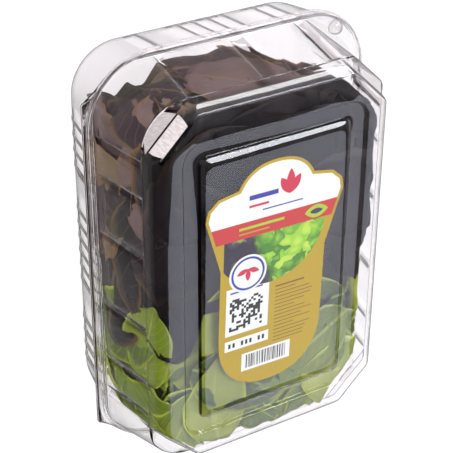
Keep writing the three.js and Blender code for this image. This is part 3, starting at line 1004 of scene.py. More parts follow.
@dataclass
class Lid(ClearShell):
    """The lid: raised panel in a channel, bevelled shoulder, notched corners, grooved walls and a rim."""

    panel: tuple[float, float] = (49.0, 88.6)
    panel_z: float = 99.9
    channel: tuple[float, float] = (60.2, 99.7)
    channel_z: float = 98.3
    face: tuple[float, float] = (72.8, 115.8)
    face_z: float = 100.5
    shoulder: tuple[float, float] = (77.5, 120.5)
    shoulder_z: float = 92.5
    ledge_z: float = 88.0
    mouth: tuple[float, float] = (86.5, 129.5)
    rim_z: float = 47.95
    head_slope: float = 0.1  # the face falls away a little towards the head end, which keeps it dark
    # Painted highlight: a milky patch on the hinge-side head corner's notch, placed by the fields below.
    highlight_finish: FrostAndPaintedHighlight = FrostAndPaintedHighlight("notch_painted_highlight")
    # Painted shade: film tinted dark on the panel's tight riser and round the notch's painted highlight.
    bend_shade_finish: ClearPlastic = ClearPlastic("bend_painted_shade", tint=(96, 92, 98), haze=0.004)
    # Painted shade: film tinted grey in the drawn grooves.
    groove_shade_finish: ClearPlastic = ClearPlastic("groove_painted_shade", tint=(214, 207, 210))
    highlight_cut: float = 22.5  # how far the notch's wall cuts the face's corner
    highlight_length: float = 17.0
    highlight_shift: float = 4.0  # towards the foot along the cut
    highlight_ledge: float = 8.5  # where the ledge's painted highlight starts, outside the cut
    groove_share: float = 0.36  # half of a groove's width that has the groove's painted shade

    def wall(self, z: float, rib: float = 0.0, fillet: float = 0.0) -> Level:
        """The wall's outline at a height between the mouth and the shoulder."""
        t = (z - self.rim_z) / (self.shoulder_z - self.rim_z)
        half = tuple(m + (s - m) * t for m, s in zip(self.mouth, self.shoulder))
        left, right = (Corner.ROUND, 30 - 3 * t), (Corner.CUT, 36 - 16 * t)
        return Level(half, z, left, right, rib, fillet)

    def levels(self) -> list[Level]:
        """All levels from the panel's edge to the rim's lip."""
        ledge = self.wall(self.ledge_z)
        top = [
            Level(self.panel, self.panel_z, (Corner.ROUND, 5), fillet=0.45),
            Level(grown(self.panel, 1.1), self.channel_z, (Corner.ROUND, 6.1), fillet=0.35),
            Level(grown(self.channel, -1), self.channel_z, (Corner.ROUND, 11), fillet=0.5),
            Level(self.channel, self.face_z, (Corner.ROUND, 12), fillet=0.8),
            Level(self.face, self.face_z, (Corner.CUT, 21.1), fillet=2.6),
            Level(self.shoulder, self.shoulder_z, (Corner.CUT, 28.6), fillet=0.8),
            Level(grown(ledge.half, -0.2), self.ledge_z, (Corner.CUT, 29.2), fillet=0.7),
            Level(ledge.half, self.ledge_z, ledge.left, ledge.right, fillet=0.7),
        ]
        groove_ends = ((87.0, 0.0), (86.7, 0.45), (86.0, 0.75), (85.0, 0.93), (84.0, 1.0), (66.0, 1.0))
        grooves = [self.wall(z, rib) for z, rib in groove_ends]
        rim = [
            self.wall(self.rim_z + 0.6, 1.0),
            Level(grown(self.mouth, -0.05), self.rim_z, (Corner.ROUND, 30), (Corner.CUT, 36), fillet=0.5),
            Level(grown(self.mouth, 1.4), self.rim_z, (Corner.ROUND, 34), (Corner.ROUND, 34), fillet=0.5),
            Level(grown(self.mouth, 2.1), self.rim_z + 1.7, (Corner.ROUND, 36), fillet=0.5),
            Level(grown(self.mouth, 4.4), self.rim_z + 1.7, (Corner.ROUND, 41.4), fillet=0.6),
            Level(grown(self.mouth, 4.7), self.rim_z + 0.1, (Corner.ROUND, 41.8), fillet=0.1),
            Level(grown(self.mouth, 5), self.rim_z, (Corner.STRIP, 42), (Corner.ROUND, 42), fillet=0.2),
            Level(grown(self.mouth, 5), self.rim_z - 0.3, (Corner.STRIP, 42), (Corner.ROUND, 42)),
        ]
        return [*top, *grooves, *rim]

    def settled(self, row: np.ndarray) -> np.ndarray:
        """Tilts the face outside the channel on the head side."""
        row = row.copy()
        on_face = smoothstep(self.channel_z + 0.6, self.face_z, row[:, 2])
        row[:, 2] -= on_face * self.head_slope * np.maximum(row[:, 1] - self.channel[1], 0)
        return row

    def paint_notch_highlight(self, shell: bpy.types.Object) -> None:
        """Paints a highlight on the head corner's notch wall and ledge on the hinge side, as a milky patch.

        Args:
            shell: The lid's shell.
        """
        across, length = self.face
        film_margin = (1.2, 2.0)
        for face in shell.data.polygons:
            x, y, z = self.place(face)
            out = abs(x) + y - (across + length - self.highlight_cut)
            along = abs(abs(x) - y + length - across - self.highlight_shift)
            in_zone = out >= -film_margin[0] and along <= self.highlight_length + film_margin[1]
            if not in_zone or y < 0 or x > 0 or z < self.ledge_z - 1:
                continue
            upright = self.ledge_z + 2 < z < self.channel_z + 0.3 and out > 0
            level = abs(z - self.ledge_z) < 0.6 and out > self.highlight_ledge
            # Painted highlight inside the zone, painted bend shade on its margin.
            gets_highlight = along < self.highlight_length and (upright or level)
            face.material_index = (ShellSlot.NOTCH_HIGHLIGHT if gets_highlight else ShellSlot.BEND).value

    def place(self, face: bpy.types.MeshPolygon) -> Place:
        """Returns a face's middle in millimetres from the shell's own middle."""
        return face.center.x / MM - MIDDLE_X, face.center.y / MM, face.center.z / MM

    def paint_bend_and_groove_shade(self, shell: bpy.types.Object) -> None:
        """Paints shade on the panel's tight riser and in the drawn grooves, as darker tinted film.

        Args:
            shell: The lid's shell, which gets its other finishes here.
        """
        for finish in (self.highlight_finish, self.bend_shade_finish, self.groove_shade_finish):
            shell.data.materials.append(finish.material())
        for face in shell.data.polygons:
            x, y, z = self.place(face)
            beyond = max(abs(x) - self.panel[0], abs(y) - self.panel[1])
            # Painted shade: dark film on the riser, grey film in the grooves.
            if self.channel_z - 0.1 < z < self.panel_z - 0.2 and -0.2 < beyond < 1.3:
                face.material_index = ShellSlot.BEND.value
            elif self.rim_z + 1 < z < self.ledge_z - 1 and self.in_groove(x, y):
                face.material_index = ShellSlot.GROOVE_SHADE.value

    def in_groove(self, x: float, y: float) -> bool:
        """Tells whether a place on the walls lies in one of the grooves."""
        wall_x, wall_y = grown(self.panel, 20)
        walls = ((abs(x) > wall_x, y, self.ribs.sides), (abs(y) > wall_y, x, self.ribs.ends))
        return any(
            on_wall and abs(along - at) < self.groove_share * width
            for on_wall, along, grooves in walls
            for at, width in grooves
        )

    def build(self) -> bpy.types.Object:
        """Builds the lid's shell and hands it over."""
        shell = self.sheet(self.levels())
        self.paint_bend_and_groove_shade(shell)
        self.paint_notch_highlight(shell)
        hand_over(shell, self.body, "clear_plastic", "lid")
        return shell


@dataclass
class Tub(ClearShell):
    """The tub: flat base, fluted walls and a rim that nests under the lid's."""

    foot: tuple[float, float] = (75.9, 118.9)
    base: tuple[float, float] = (80.9, 123.9)
    base_z: float = 5.0
    mouth: tuple[float, float] = (86.5, 129.5)
    rim_z: float = 46.35
    flute_high: float = 40.0

    def wall(self, z: float, rib: float = 0.0, fillet: float = 0.0) -> Level:
        """The wall's outline at a height between the base and the mouth."""
        t = (z - self.base_z) / (self.rim_z - self.base_z)
        half = tuple(b + (m - b) * t for b, m in zip(self.base, self.mouth))
        return Level(half, z, (Corner.ROUND, 30.0), None, rib, fillet)

    def levels(self) -> list[Level]:
        """All levels from the base outwards to the rim's lip."""
        flute_ends = ((8.0, 0.0), (9.5, 0.5), (12.0, 0.9), (15.0, 1.0), (self.flute_high, 1.0), (44.0, 0.55))
        ribbed = [self.wall(z, rib) for z, rib in flute_ends]
        rim = [
            self.wall(self.rim_z, 0.0, 0.5),
            Level(grown(self.mouth, 1.6), self.rim_z, (Corner.ROUND, 34), fillet=0.4),
            Level(grown(self.mouth, 2.3), self.rim_z + 1.25, (Corner.ROUND, 36.76), fillet=0.4),
            Level(grown(self.mouth, 4.1), self.rim_z + 1.25, (Corner.ROUND, 41.2), fillet=0.4),
            Level(grown(self.mouth, 4.6), self.rim_z, (Corner.ROUND, 41.6), fillet=0.3),
            Level(grown(self.mouth, 5), self.rim_z, (Corner.STRIP, 42), (Corner.ROUND, 42)),
        ]
        return [
            Level(grown(self.foot, -12), 0.9, (Corner.ROUND, 16), fillet=1.0),
            Level(grown(self.foot, -9), 0.0, (Corner.ROUND, 18), fillet=1.0),
            Level(self.foot, 0.0, (Corner.ROUND, 25), fillet=2.0),
            self.wall(self.base_z, 0.0, 2.0),
            *ribbed,
            *rim,
        ]

    def build(self) -> bpy.types.Object:
        """Builds the tub's shell and hands it over."""
        shell = self.sheet(self.levels())
        hand_over(shell, self.body, "clear_plastic", "tub")
        return shell


@dataclass
class SnapStuds:
    """Domed press studs on the rim's two corners on the side that opens."""

    finish: ClearPlastic
    at: tuple[float, float] = (71.0, 120.0)
    radius: float = 4.6
    height: float = 3.4
    low: float = 47.97
    turns: int = 28
    wall: float = 0.45
    outer: Knots = ((1.0, 0.0), (0.94, 0.3), (0.9, 0.6), (0.8, 0.86), (0.55, 0.98), (0.2, 1.0))

    def dome(self) -> bpy.types.Object:
        """One closed thin dome with a waist, its foot at the origin."""
        profile = [(r * self.radius, z * self.height) for r, z in self.outer]
        profile += [(r - self.wall, max(z - self.wall, 0.05)) for r, z in reversed(profile[:-1])]
        points = [(0.0, 0.0, self.height)]
        for r, z in profile:
            points += [(x, y, z) for x, y in ring(r, self.turns)]
        points.append((0.0, 0.0, self.height - self.wall))
        crest, hub = len(self.outer) - 1, len(points) - 1
        rows = [range(1 + r * self.turns, 1 + (r + 1) * self.turns) for r in range(len(profile))]
        faces: list[Face] = []
        for r, (low, high) in enumerate(zip(rows, rows[1:] + rows[:1])):
            for k in range(self.turns):
                j = (k + 1) % self.turns
                if r == crest:
                    faces += [(low[k], low[j], 0), (high[k], hub, high[j])]
                else:
                    faces.append((low[k], low[j], high[j], high[k]))
        dome = new_object("stud_shape", np.array(points), faces, [])
        clean_normals(dome.data)
        return dome

    def build(self) -> bpy.types.Object:
        """Places the studs by a tree and hands them over."""
        shape = shapes_collection("stud_shapes", [self.dome()])
        spots = np.array([(MIDDLE_X + self.at[0], sy * self.at[1], self.low) for sy in (-1, 1)])
        studs = new_object("snap_studs", spots, [], [])
        tree = PieceTree("snap_studs")
        tree.named("Shapes", "Collection", shape)
        tree.named("Size", "Float", 1.0)
        tree.named("Finish", "Material", self.finish.material())
        pick = tree.add("GeometryNodeCollectionInfo", {"Collection": "Shapes"})
        placed = tree.add("GeometryNodeInstanceOnPoints", {
            "Points": "Geometry", "Instance": pick.outputs[0], "Scale": "Size",
        })
        tree.close(placed.outputs[0])
        tree.run(studs)
        shade_smooth(studs.data)
        hand_over(studs, "lid", "clear_plastic")
        return studs


# Leaves


CROWN: Knots = ((-6.0, 97.3), (0.0, 97.1))  # where every section of the heap starts, at its top's edge


@dataclass(frozen=True)
class HeapForm:
    """The heap's outer form: a flat top pressed to the lid, and sides that follow the shells.

    A flat plan is laid over the top and folded down the sides. A side's section gives how far out of the
    top's outline the heap stands, and how high, as it goes down.
    """

    core: Knots = (
        (47.0, -80.0), (47.0, 80.0), (34.0, 93.0), (-43.0, 93.0),
        (-51.0, 85.0), (-51.0, -85.0), (-43.0, -93.0), (34.0, -93.0),
    )
    round: float = 22.0
    side: Knots = (*CROWN, (2.4, 95.6), (3.6, 92.0), (11.4, 50.0), (4.6, 28.0), (0.6, 6.0), (-2.0, 2.6))
    head: Knots = (*CROWN, (2.2, 95.4), (2.8, 92.0), (2.0, 60.0), (-7.0, 36.0), (-22.0, 8.0), (-26.0, 3.0))
    head_middle: Knots = (
        *CROWN, (2.2, 95.4), (3.0, 92.0), (5.0, 52.0), (2.0, 28.0), (-8.0, 12.0), (-20.0, 3.0),
    )
    head_right: Knots = (
        *CROWN, (1.8, 95.4), (1.0, 92.0), (-9.0, 70.0), (-20.0, 44.0), (-28.0, 8.0), (-30.0, 3.0),
    )
    corner: Knots = (
        *CROWN, (1.2, 95.4), (1.0, 92.0), (-8.0, 48.0), (-12.0, 26.0), (-15.0, 6.0), (-16.0, 3.0),
    )
    hollow: float = 11.0  # how far the heap stands back from the side that opens, towards the foot
    notch_start: float = 168.0  # across plus along, where the lid's corner notches begin
    notch_blur: float = 2.5
    notch_z: float = 86.0
    lid_z: float = 100.0

    def nearest(self, plan: np.ndarray) -> tuple[np.ndarray, np.ndarray, np.ndarray]:
        """Finds the nearest point of the core polygon for each point of the plan.

        Args:
            plan: Places on the flat plan.

        Returns:
            The nearest points, the distances outside the polygon (0 within), and the directions outwards.
        """
        corners = np.array(self.core)
        best = np.full(len(plan), np.inf)
        near = np.zeros_like(plan)
        inside = np.ones(len(plan), dtype=bool)
        for a, b in zip(corners, np.roll(corners, -1, axis=0)):
            edge = b - a
            t = np.clip((plan - a) @ edge / (edge @ edge), 0, 1)
            foot = a + t[:, None] * edge
            distance = np.linalg.norm(plan - foot, axis=1)
            near[distance < best] = foot[distance < best]
            best = np.minimum(best, distance)
            inside &= edge[0] * (plan[:, 1] - a[1]) - edge[1] * (plan[:, 0] - a[0]) >= 0
        distance = np.where(inside, 0.0, best)
        near[inside] = plan[inside]
        away = np.where(distance[:, None] > 1e-9, (plan - near) / np.maximum(distance, 1e-9)[:, None], 0.0)
        return near, distance, away

    def section(self, knots: Knots, run: np.ndarray) -> np.ndarray:
        """Follows a side's section.

        Args:
            knots: How far out and how high the section is, from the top down.
            run: Length along the section, from its first knot.

        Returns:
            Out, height, and the outward normal's two parts, one row each.
        """
        line, roundings = np.array(knots), 3
        for _ in range(roundings):
            fine = np.empty((2 * len(line), 2))
            fine[0], fine[-1] = line[0], line[-1]
            fine[1:-1:2] = 0.75 * line[:-1] + 0.25 * line[1:]
            fine[2:-1:2] = 0.25 * line[:-1] + 0.75 * line[1:]
            line = fine
        measure = np.concatenate([[0.0], np.cumsum(np.linalg.norm(np.diff(line, axis=0), axis=1))])
        slope = np.gradient(line, measure, axis=0)
        columns = (line[:, 0], line[:, 1], -slope[:, 1], slope[:, 0])
        return np.column_stack([np.interp(run, measure, column) for column in columns])

    def folded(self, plan: np.ndarray, depth: np.ndarray) -> np.ndarray:
        """Folds points of the flat plan over the heap.

        Args:
            plan: Places on the plan.
            depth: How far inside the heap's skin each one lies.

        Returns:
            Places in the pack, in millimetres.
        """
        near, distance, away = self.nearest(plan)
        first = self.round + CROWN[0][0]
        run = np.maximum(distance - first, 0.0)
        forms = (self.side, self.head, self.head_middle, self.head_right, self.corner)
        side, head, middle, end, corner = (self.section(knots, run) for knots in forms)
        to_middle = smoothstep(-44.0, -30.0, near[:, 0]) * smoothstep(24.0, 10.0, near[:, 0])
        to_end = smoothstep(22.0, 34.0, near[:, 0])
        head = head + (middle - head) * to_middle[:, None]
        head = head + (end - head) * to_end[:, None]
        to_head = smoothstep(0.3, 0.9, away[:, 1])[:, None]
        to_corner = (smoothstep(0.15, 0.6, away[:, 0]) * smoothstep(0.2, 0.6, np.abs(away[:, 1])))[:, None]
        line = side + (head - side) * to_head
        line = line + (corner - line) * to_corner
        back = self.hollow * smoothstep(0.3, 0.9, away[:, 0]) * smoothstep(12.0, -14.0, near[:, 1])
        back = back * smoothstep(0.0, 12.0, run)
        on_top = distance <= first
        normal = np.where(on_top[:, None], (0.0, 1.0), line[:, 2:4])
        normal = normal / np.linalg.norm(normal, axis=1, keepdims=True)
        reach = np.where(on_top, distance, self.round + line[:, 0] - back) - depth * normal[:, 0]
        height = np.where(on_top, CROWN[0][1], line[:, 1]) - depth * normal[:, 1]
        flat = near + away * reach[:, None]
        in_notch = smoothstep(self.notch_start - self.notch_blur, self.notch_start, np.abs(flat).sum(axis=1))
        height = np.minimum(height, self.lid_z - (self.lid_z - self.notch_z + 0.25 * depth) * in_notch)
        return np.column_stack([flat[:, 0] + MIDDLE_X, flat[:, 1], height])


@dataclass(frozen=True)
class LeafKind:
    """One kind of leaf: its sizes and how much its blade ruffles."""

    name: str
    length: float
    width: float
    ruffle: float
    lobes: float
    point: float  # power that moves the widest place towards the tip
    finish: LeafFinish
    shapes: int = 5
    along: int = 16
    across: int = 8
    thickness: float = 0.35

    def shape(self, number: int) -> bpy.types.Object:
        """One closed thin leaf, its middle at the origin and its tip along +X.

        Args:
            number: Which of the kind's shapes it is, which seeds its ruffle.

        Returns:
            The leaf with its map and its side attribute.
        """
        random = np.random.default_rng(100 + number + 17 * len(self.name))
        phase, turn = random.uniform(0, 2 * math.pi, 2)
        stretch, breadth = np.linspace(0, 1, self.along + 1), np.linspace(-1, 1, self.across + 1)
        t, s = np.meshgrid(stretch, breadth, indexing="ij")
        bulge = np.sin(np.pi * (0.03 + 0.94 * t) ** self.point) ** 0.62
        bulge = bulge * (1 + self.lobes * np.sin(9 * np.pi * t + phase) * np.sin(np.pi * t))
        half = 0.5 * self.width * random.uniform(0.88, 1.12) * bulge
        bow = self.length * random.uniform(-0.1, 0.1)
        x = self.length * (t - 0.5 - 0.08 * s * s * (t - 0.3))
        y = half * s + bow * np.sin(np.pi * t)
        wave = np.sin(phase + 11 * t + 1.5 * s) + 0.6 * np.sin(turn + 19 * t * (1 + 0.2 * s))
        z = self.ruffle * np.abs(s) ** 1.6 * wave + 0.5 * self.ruffle * np.sin(turn + 3.2 * t)
        z = z - 0.9 * np.exp(-(s / 0.16) ** 2) * (1 - t) + random.uniform(-2.0, 3.0) * s * s
        top = np.column_stack([x.ravel(), y.ravel(), z.ravel()])
        points = np.vstack([top + (0, 0, 0.5 * self.thickness), top - (0, 0, 0.5 * self.thickness)])
        columns, offset = self.across + 1, len(top)
        faces = []
        for i in range(self.along):
            for j in range(self.across):
                a = i * columns + j
                b, c, d = a + columns, a + columns + 1, a + 1
                faces += [(a, b, c, d), (offset + a, offset + d, offset + c, offset + b)]
        last = self.along * columns
        border = [i * columns for i in range(self.along)] + [last + j for j in range(self.across)]
        border += [(self.along - i) * columns + self.across for i in range(self.along)]
        border += [self.across - j for j in range(self.across)]
        for a, b in zip(border, border[1:] + border[:1]):
            faces.append((a, offset + a, offset + b, b))
        leaf = new_object(f"{self.name}_shape_{number}", points / MM, faces, [])
        side = leaf.data.attributes.new(LEAF_SIDE, "FLOAT", "POINT")
        side.data.foreach_set("value", [1.0] * offset + [-1.0] * offset)
        uv = np.tile(np.column_stack([t.ravel(), 0.5 * (s.ravel() + 1)]), (2, 1))
        layer = leaf.data.uv_layers.new(name=LEAF_MAP)
        loops = np.empty(len(leaf.data.loops), dtype=int)
        leaf.data.loops.foreach_get("vertex_index", loops)
        layer.data.foreach_set("uv", uv[loops].ravel())
        return leaf


@dataclass
class Droplets:
    """Small flat drops of water inside the lid's panel, on the side that opens."""

    finish: WaterFilm = WaterFilm()
    centre: Point = (36.0, -38.0)
    spread: Point = (9.0, 16.0)
    count: int = 26
    radius: float = 1.0
    height: float = 0.3
    sizes: Point = (0.3, 1.1)
    hang: float = 99.36  # the panel's underside
    seed: int = 3

    def drop(self) -> bpy.types.Object:
        """One flat closed drop that hangs from the origin."""
        rings, turns = ((1.0, 0.0), (0.86, -0.55), (0.5, -0.9)), 12
        points = [(0.0, 0.0, 0.0), (0.0, 0.0, -self.height)]
        for reach, low in rings:
            points += [(x, y, self.height * low) for x, y in ring(self.radius * reach, turns)]
        rows = [range(2 + r * turns, 2 + (r + 1) * turns) for r in range(len(rings))]
        faces: list[Face] = []
        for k in range(turns):
            j = (k + 1) % turns
            faces += [(0, rows[0][k], rows[0][j]), (1, rows[-1][j], rows[-1][k])]
            faces += [(a[k], b[k], b[j], a[j]) for a, b in zip(rows, rows[1:])]
        drop = new_object("drop_shape", np.array(points), faces, [])
        clean_normals(drop.data)
        return drop

    def build(self) -> bpy.types.Object:
        """Scatters the drops by a tree and hands them over."""
        random = np.random.default_rng(self.seed)
        spots = np.column_stack([
            MIDDLE_X + self.centre[0] + random.uniform(-1, 1, self.count) * self.spread[0],
            self.centre[1] + random.uniform(-1, 1, self.count) * self.spread[1],
            np.full(self.count, self.hang),
        ])
        drops = new_object("water_drops", spots, [], [])
        tree = PieceTree("water_drops")
        tree.named("Shapes", "Collection", shapes_collection("drop_shapes", [self.drop()]))
        tree.named("Smallest", "Float", self.sizes[0])
        tree.named("Largest", "Float", self.sizes[1])
        tree.named("Seed", "Int", self.seed)
        tree.named("Finish", "Material", self.finish.material())
        pick = tree.add("GeometryNodeCollectionInfo", {"Collection": "Shapes"})
        placed = tree.add("GeometryNodeInstanceOnPoints", {
            "Points": "Geometry", "Instance": pick.outputs[0],
            "Scale": tree.random("FLOAT", "Smallest", "Largest", 1),
        })
        tree.close(placed.outputs[0])
        tree.run(drops)
        shade_smooth(drops.data)
        hand_over(drops, "lid", "clear_plastic")
        return drops


@dataclass
class SaladHeap:
    """The leaves: two kinds of thin real leaves, folded over a dim core that keeps the heap's form."""

    red: LeafKind
    green: LeafKind
    form: HeapForm = field(default_factory=HeapForm)
    pitch: float = 40.0
    layers: Knots = ((1.0, 2.6), (4.0, 5.6), (7.2, 9.0), (11.0, 14.0))  # least and most depth
    reach: Point = (150.0, 194.0)
    jitter: float = 0.42
    fall: float = 88.0  # how far down the sides leaves are laid
    border: Point = (-26.0, -8.0)  # between these the kinds mix
    side_rise: float = 6.0  # how much higher they mix on the hinge side
    sizes: Point = (0.78, 1.18)
    tilt: float = 0.035
    core_depth: float = 16.0
    core_rows: tuple[float, ...] = (6, 12, 16, 19, 22, 25, 28, 34, 44, 56, 70, 84, 96, 104)
    core_lump: float = 1.4
    press: float = 1.5  # how sharply leaves are stopped by the lid
    kept_apart: float = 0.06  # share of their spacing that leaves keep where the lid presses them flat
    seed: int = 29

    def places(self) -> tuple[np.ndarray, np.ndarray]:
        """Where leaves lie on the flat plan: jittered rows, layer over layer.

        Returns:
            Place and depth of each leaf, and whether it is of the green kind.
        """
        random = np.random.default_rng(self.seed)
        spots = []
        for shallow, deep in self.layers:
            shift = random.uniform(-0.5, 0.5, 2) * self.pitch
            for u in np.arange(-self.reach[0], self.reach[0] + 1, self.pitch):
                for v in np.arange(-self.reach[1], self.reach[1] + 1, self.pitch):
                    du, dv = random.uniform(-self.jitter, self.jitter, 2) * self.pitch
                    spots.append((u + shift[0] + du, v + shift[1] + dv, random.uniform(shallow, deep)))
        spots = np.array(spots)
        _, distance, away = self.form.nearest(spots[:, :2])
        at_head = smoothstep(0.5, 0.9, away[:, 1])
        spots = spots[distance - self.form.round < self.fall - 8 * at_head]
        low, high = self.border
        higher = self.side_rise * smoothstep(-50.0, -90.0, spots[:, 0])
        green = spots[:, 1] < higher + low + (high - low) * random.uniform(0, 1, len(spots)) ** 1.3
        return spots, green

    def scatter(self, kind: LeafKind, spots: np.ndarray, seed: int) -> bpy.types.Object:
        """Puts leaves of one kind on their places by a tree, then folds them over the heap.

        Args:
            kind: The kind of leaf.
            spots: Place and depth of each leaf on the flat plan.
            seed: Seed of the tree.

        Returns:
            One mesh of all the leaves.
        """
        shapes = shapes_collection(f"{kind.name}_shapes", [kind.shape(k) for k in range(kind.shapes)])
        flat = np.column_stack([spots[:, :2], -spots[:, 2]])
        leaves = new_object(f"{kind.name}_leaves", flat / MM, [], [])
        tree = PieceTree(f"{kind.name}_scatter")
        tree.named("Shapes", "Collection", shapes)
        tree.named("Last Shape", "Int", kind.shapes - 1)
        tree.named("Smallest", "Float", self.sizes[0])
        tree.named("Largest", "Float", self.sizes[1])
        tree.named("Least Turn", "Vector", (-self.tilt, -self.tilt, 0.0))
        tree.named("Most Turn", "Vector", (self.tilt, self.tilt, 2 * math.pi))
        tree.named("Seed", "Int", seed)
        tree.named("Finish", "Material", kind.finish.material())
        pick = tree.add("GeometryNodeCollectionInfo", {
            "Collection": "Shapes", "Separate Children": True, "Reset Children": True,
        })
        placed = tree.add("GeometryNodeInstanceOnPoints", {
            "Points": "Geometry",
            "Instance": pick.outputs[0],
            "Pick Instance": True,
            "Instance Index": tree.random("INT", 0, "Last Shape", 1),
            "Rotation": tree.random("FLOAT_VECTOR", "Least Turn", "Most Turn", 2),
            "Scale": tree.random("FLOAT", "Smallest", "Largest", 3),
        })
        toned = tree.add("GeometryNodeStoreNamedAttribute", {
            "Geometry": placed.outputs[0], "Name": LEAF_TONE, "Value": tree.random("FLOAT", 0.0, 1.0, 4),
        }, data_type="FLOAT", domain="INSTANCE")
        tree.close(toned.outputs[0])
        tree.run(leaves)
        self.fold(leaves.data)
        return leaves

    def fold(self, mesh: bpy.types.Mesh) -> None:
        """Presses flat leaves under the lid and folds them over the heap's form.

        Args:
            mesh: The leaves on the flat plan, in millimetres; it is changed to metres in place.
        """
        points = np.empty(3 * len(mesh.vertices))
        mesh.vertices.foreach_get("co", points)
        points = points.reshape(-1, 3)
        shallowest, free, base = self.layers[0][0] * 0.35, 3.0, 1.3
        depth = -points[:, 2] - shallowest
        softened = np.log1p(np.exp(np.minimum(depth, free) * self.press)) / self.press
        pressed = np.where(depth > free, depth, softened)
        depth = shallowest + pressed + self.kept_apart * np.minimum(depth, 0.0)
        folded = self.form.folded(points[:, :2], depth)
        folded[:, 2] = np.maximum(folded[:, 2], base + 0.2 * depth / self.core_depth)
        mesh.vertices.foreach_set("co", (folded * MM).ravel())
        mesh.update()

    def core(self) -> bpy.types.Object:
        """Builds the dim core inside the leaves, with the heap's own form."""
        turns, inner, base = 120, 8, 2.0
        angles = np.linspace(0, 2 * math.pi, turns, endpoint=False)
        ways = np.column_stack([np.cos(angles), np.sin(angles)])
        corners = np.array(self.form.core)
        support = (ways @ corners.T).max(axis=1)
        starts = corners[(ways @ corners.T).argmax(axis=1)] * 0.98 + ways * 0.02 * support[:, None]
        rows = [starts * (k / inner) for k in range(1, inner + 1)]
        rows += [starts + ways * out for out in self.core_rows]
        solid_rows = [self.form.folded(row, np.full(turns, self.core_depth)) for row in rows]
        for row in solid_rows:
            row[:, 2] = np.maximum(row[:, 2], base)
        points = np.vstack([*solid_rows, solid_rows[0].mean(axis=0), solid_rows[-1].mean(axis=0)])
        x, y, z = points.T
        lump = np.sin(x / 9) * np.sin(y / 11 + 1) + 0.6 * np.sin(y / 5 + x / 7)
        points[:, 2] += self.core_lump * lump * (z > 30)
        faces = []
        for r in range(len(solid_rows) - 1):
            for i in range(turns):
                j = (i + 1) % turns
                faces.append((r * turns + i, (r + 1) * turns + i, (r + 1) * turns + j, r * turns + j))
        last = (len(solid_rows) - 1) * turns
        for i in range(turns):
            j = (i + 1) % turns
            faces.append((len(points) - 2, i, j))
            faces.append((len(points) - 1, last + j, last + i))
        core = new_object("leaf_core", points, faces, [HeapShade().material()])
        clean_normals(core.data)
        return core

    def build(self) -> None:
        """Builds the core and both kinds of leaves, and hands them over."""
        spots, green = self.places()
        hand_over(self.core(), "tub", "leaf", "leaves")
        for kind, chosen, seed in ((self.red, ~green, 5), (self.green, green, 11)):
            hand_over(self.scatter(kind, spots[chosen], seed), "tub", "leaf", "leaves")


# Label


def clipped(polygon: Polygon, point: Point, inward: Point) -> Polygon:
    """Cuts a polygon with a straight line.

    Args:
        polygon: The polygon.
        point: A point of the line.
        inward: The side that stays.

    Returns:
        What is left.
    """
    out: Polygon = []
    for a, b in zip(polygon, polygon[1:] + polygon[:1]):
        da, db = (sum((p[k] - point[k]) * inward[k] for k in (0, 1)) for p in (a, b))
        if da >= 0:
            out.append(a)
        if da * db < 0:
            t = da / (da - db)
            out.append((a[0] + (b[0] - a[0]) * t, a[1] + (b[1] - a[1]) * t))
    return out


def bezier(start: Point, first: Point, second: Point, end: Point) -> Polygon:
    """Points of a cubic curve after its start.

    Args:
        start: Where it starts.
        first: The first handle.
        second: The second handle.
        end: Where it ends.

    Returns:
        The points, with the end and without the start.
    """
    steps = 12
    a, b, c, d = (np.array(p, dtype=float) for p in (start, first, second, end))
    line: Polygon = []
    for t in (k / steps for k in range(1, steps + 1)):
        near, far = (1 - t) ** 3 * a + 3 * t * (1 - t) ** 2 * b, 3 * t * t * (1 - t) * c + t ** 3 * d
        line.append(tuple(near + far))
    return line


def turned(points: Polygon, angle: float, to: Point) -> Polygon:
    """Turns points about the origin by an angle in radians and moves them to a place."""
    cos, sin = math.cos(angle), math.sin(angle)
    return [(cos * x - sin * y + to[0], sin * x + cos * y + to[1]) for x, y in points]


LABEL_COLOURS: dict[str, Colour] = {
    "gold": (192, 160, 30),
    "white": (250, 250, 248),
    "band": (206, 54, 52),
    "rose": (214, 44, 76),
    "blue": (48, 60, 170),
    "lime": (176, 206, 44),
    "umber": (120, 92, 34),
    "black": (38, 36, 42),
    "violet": (70, 48, 92),
}


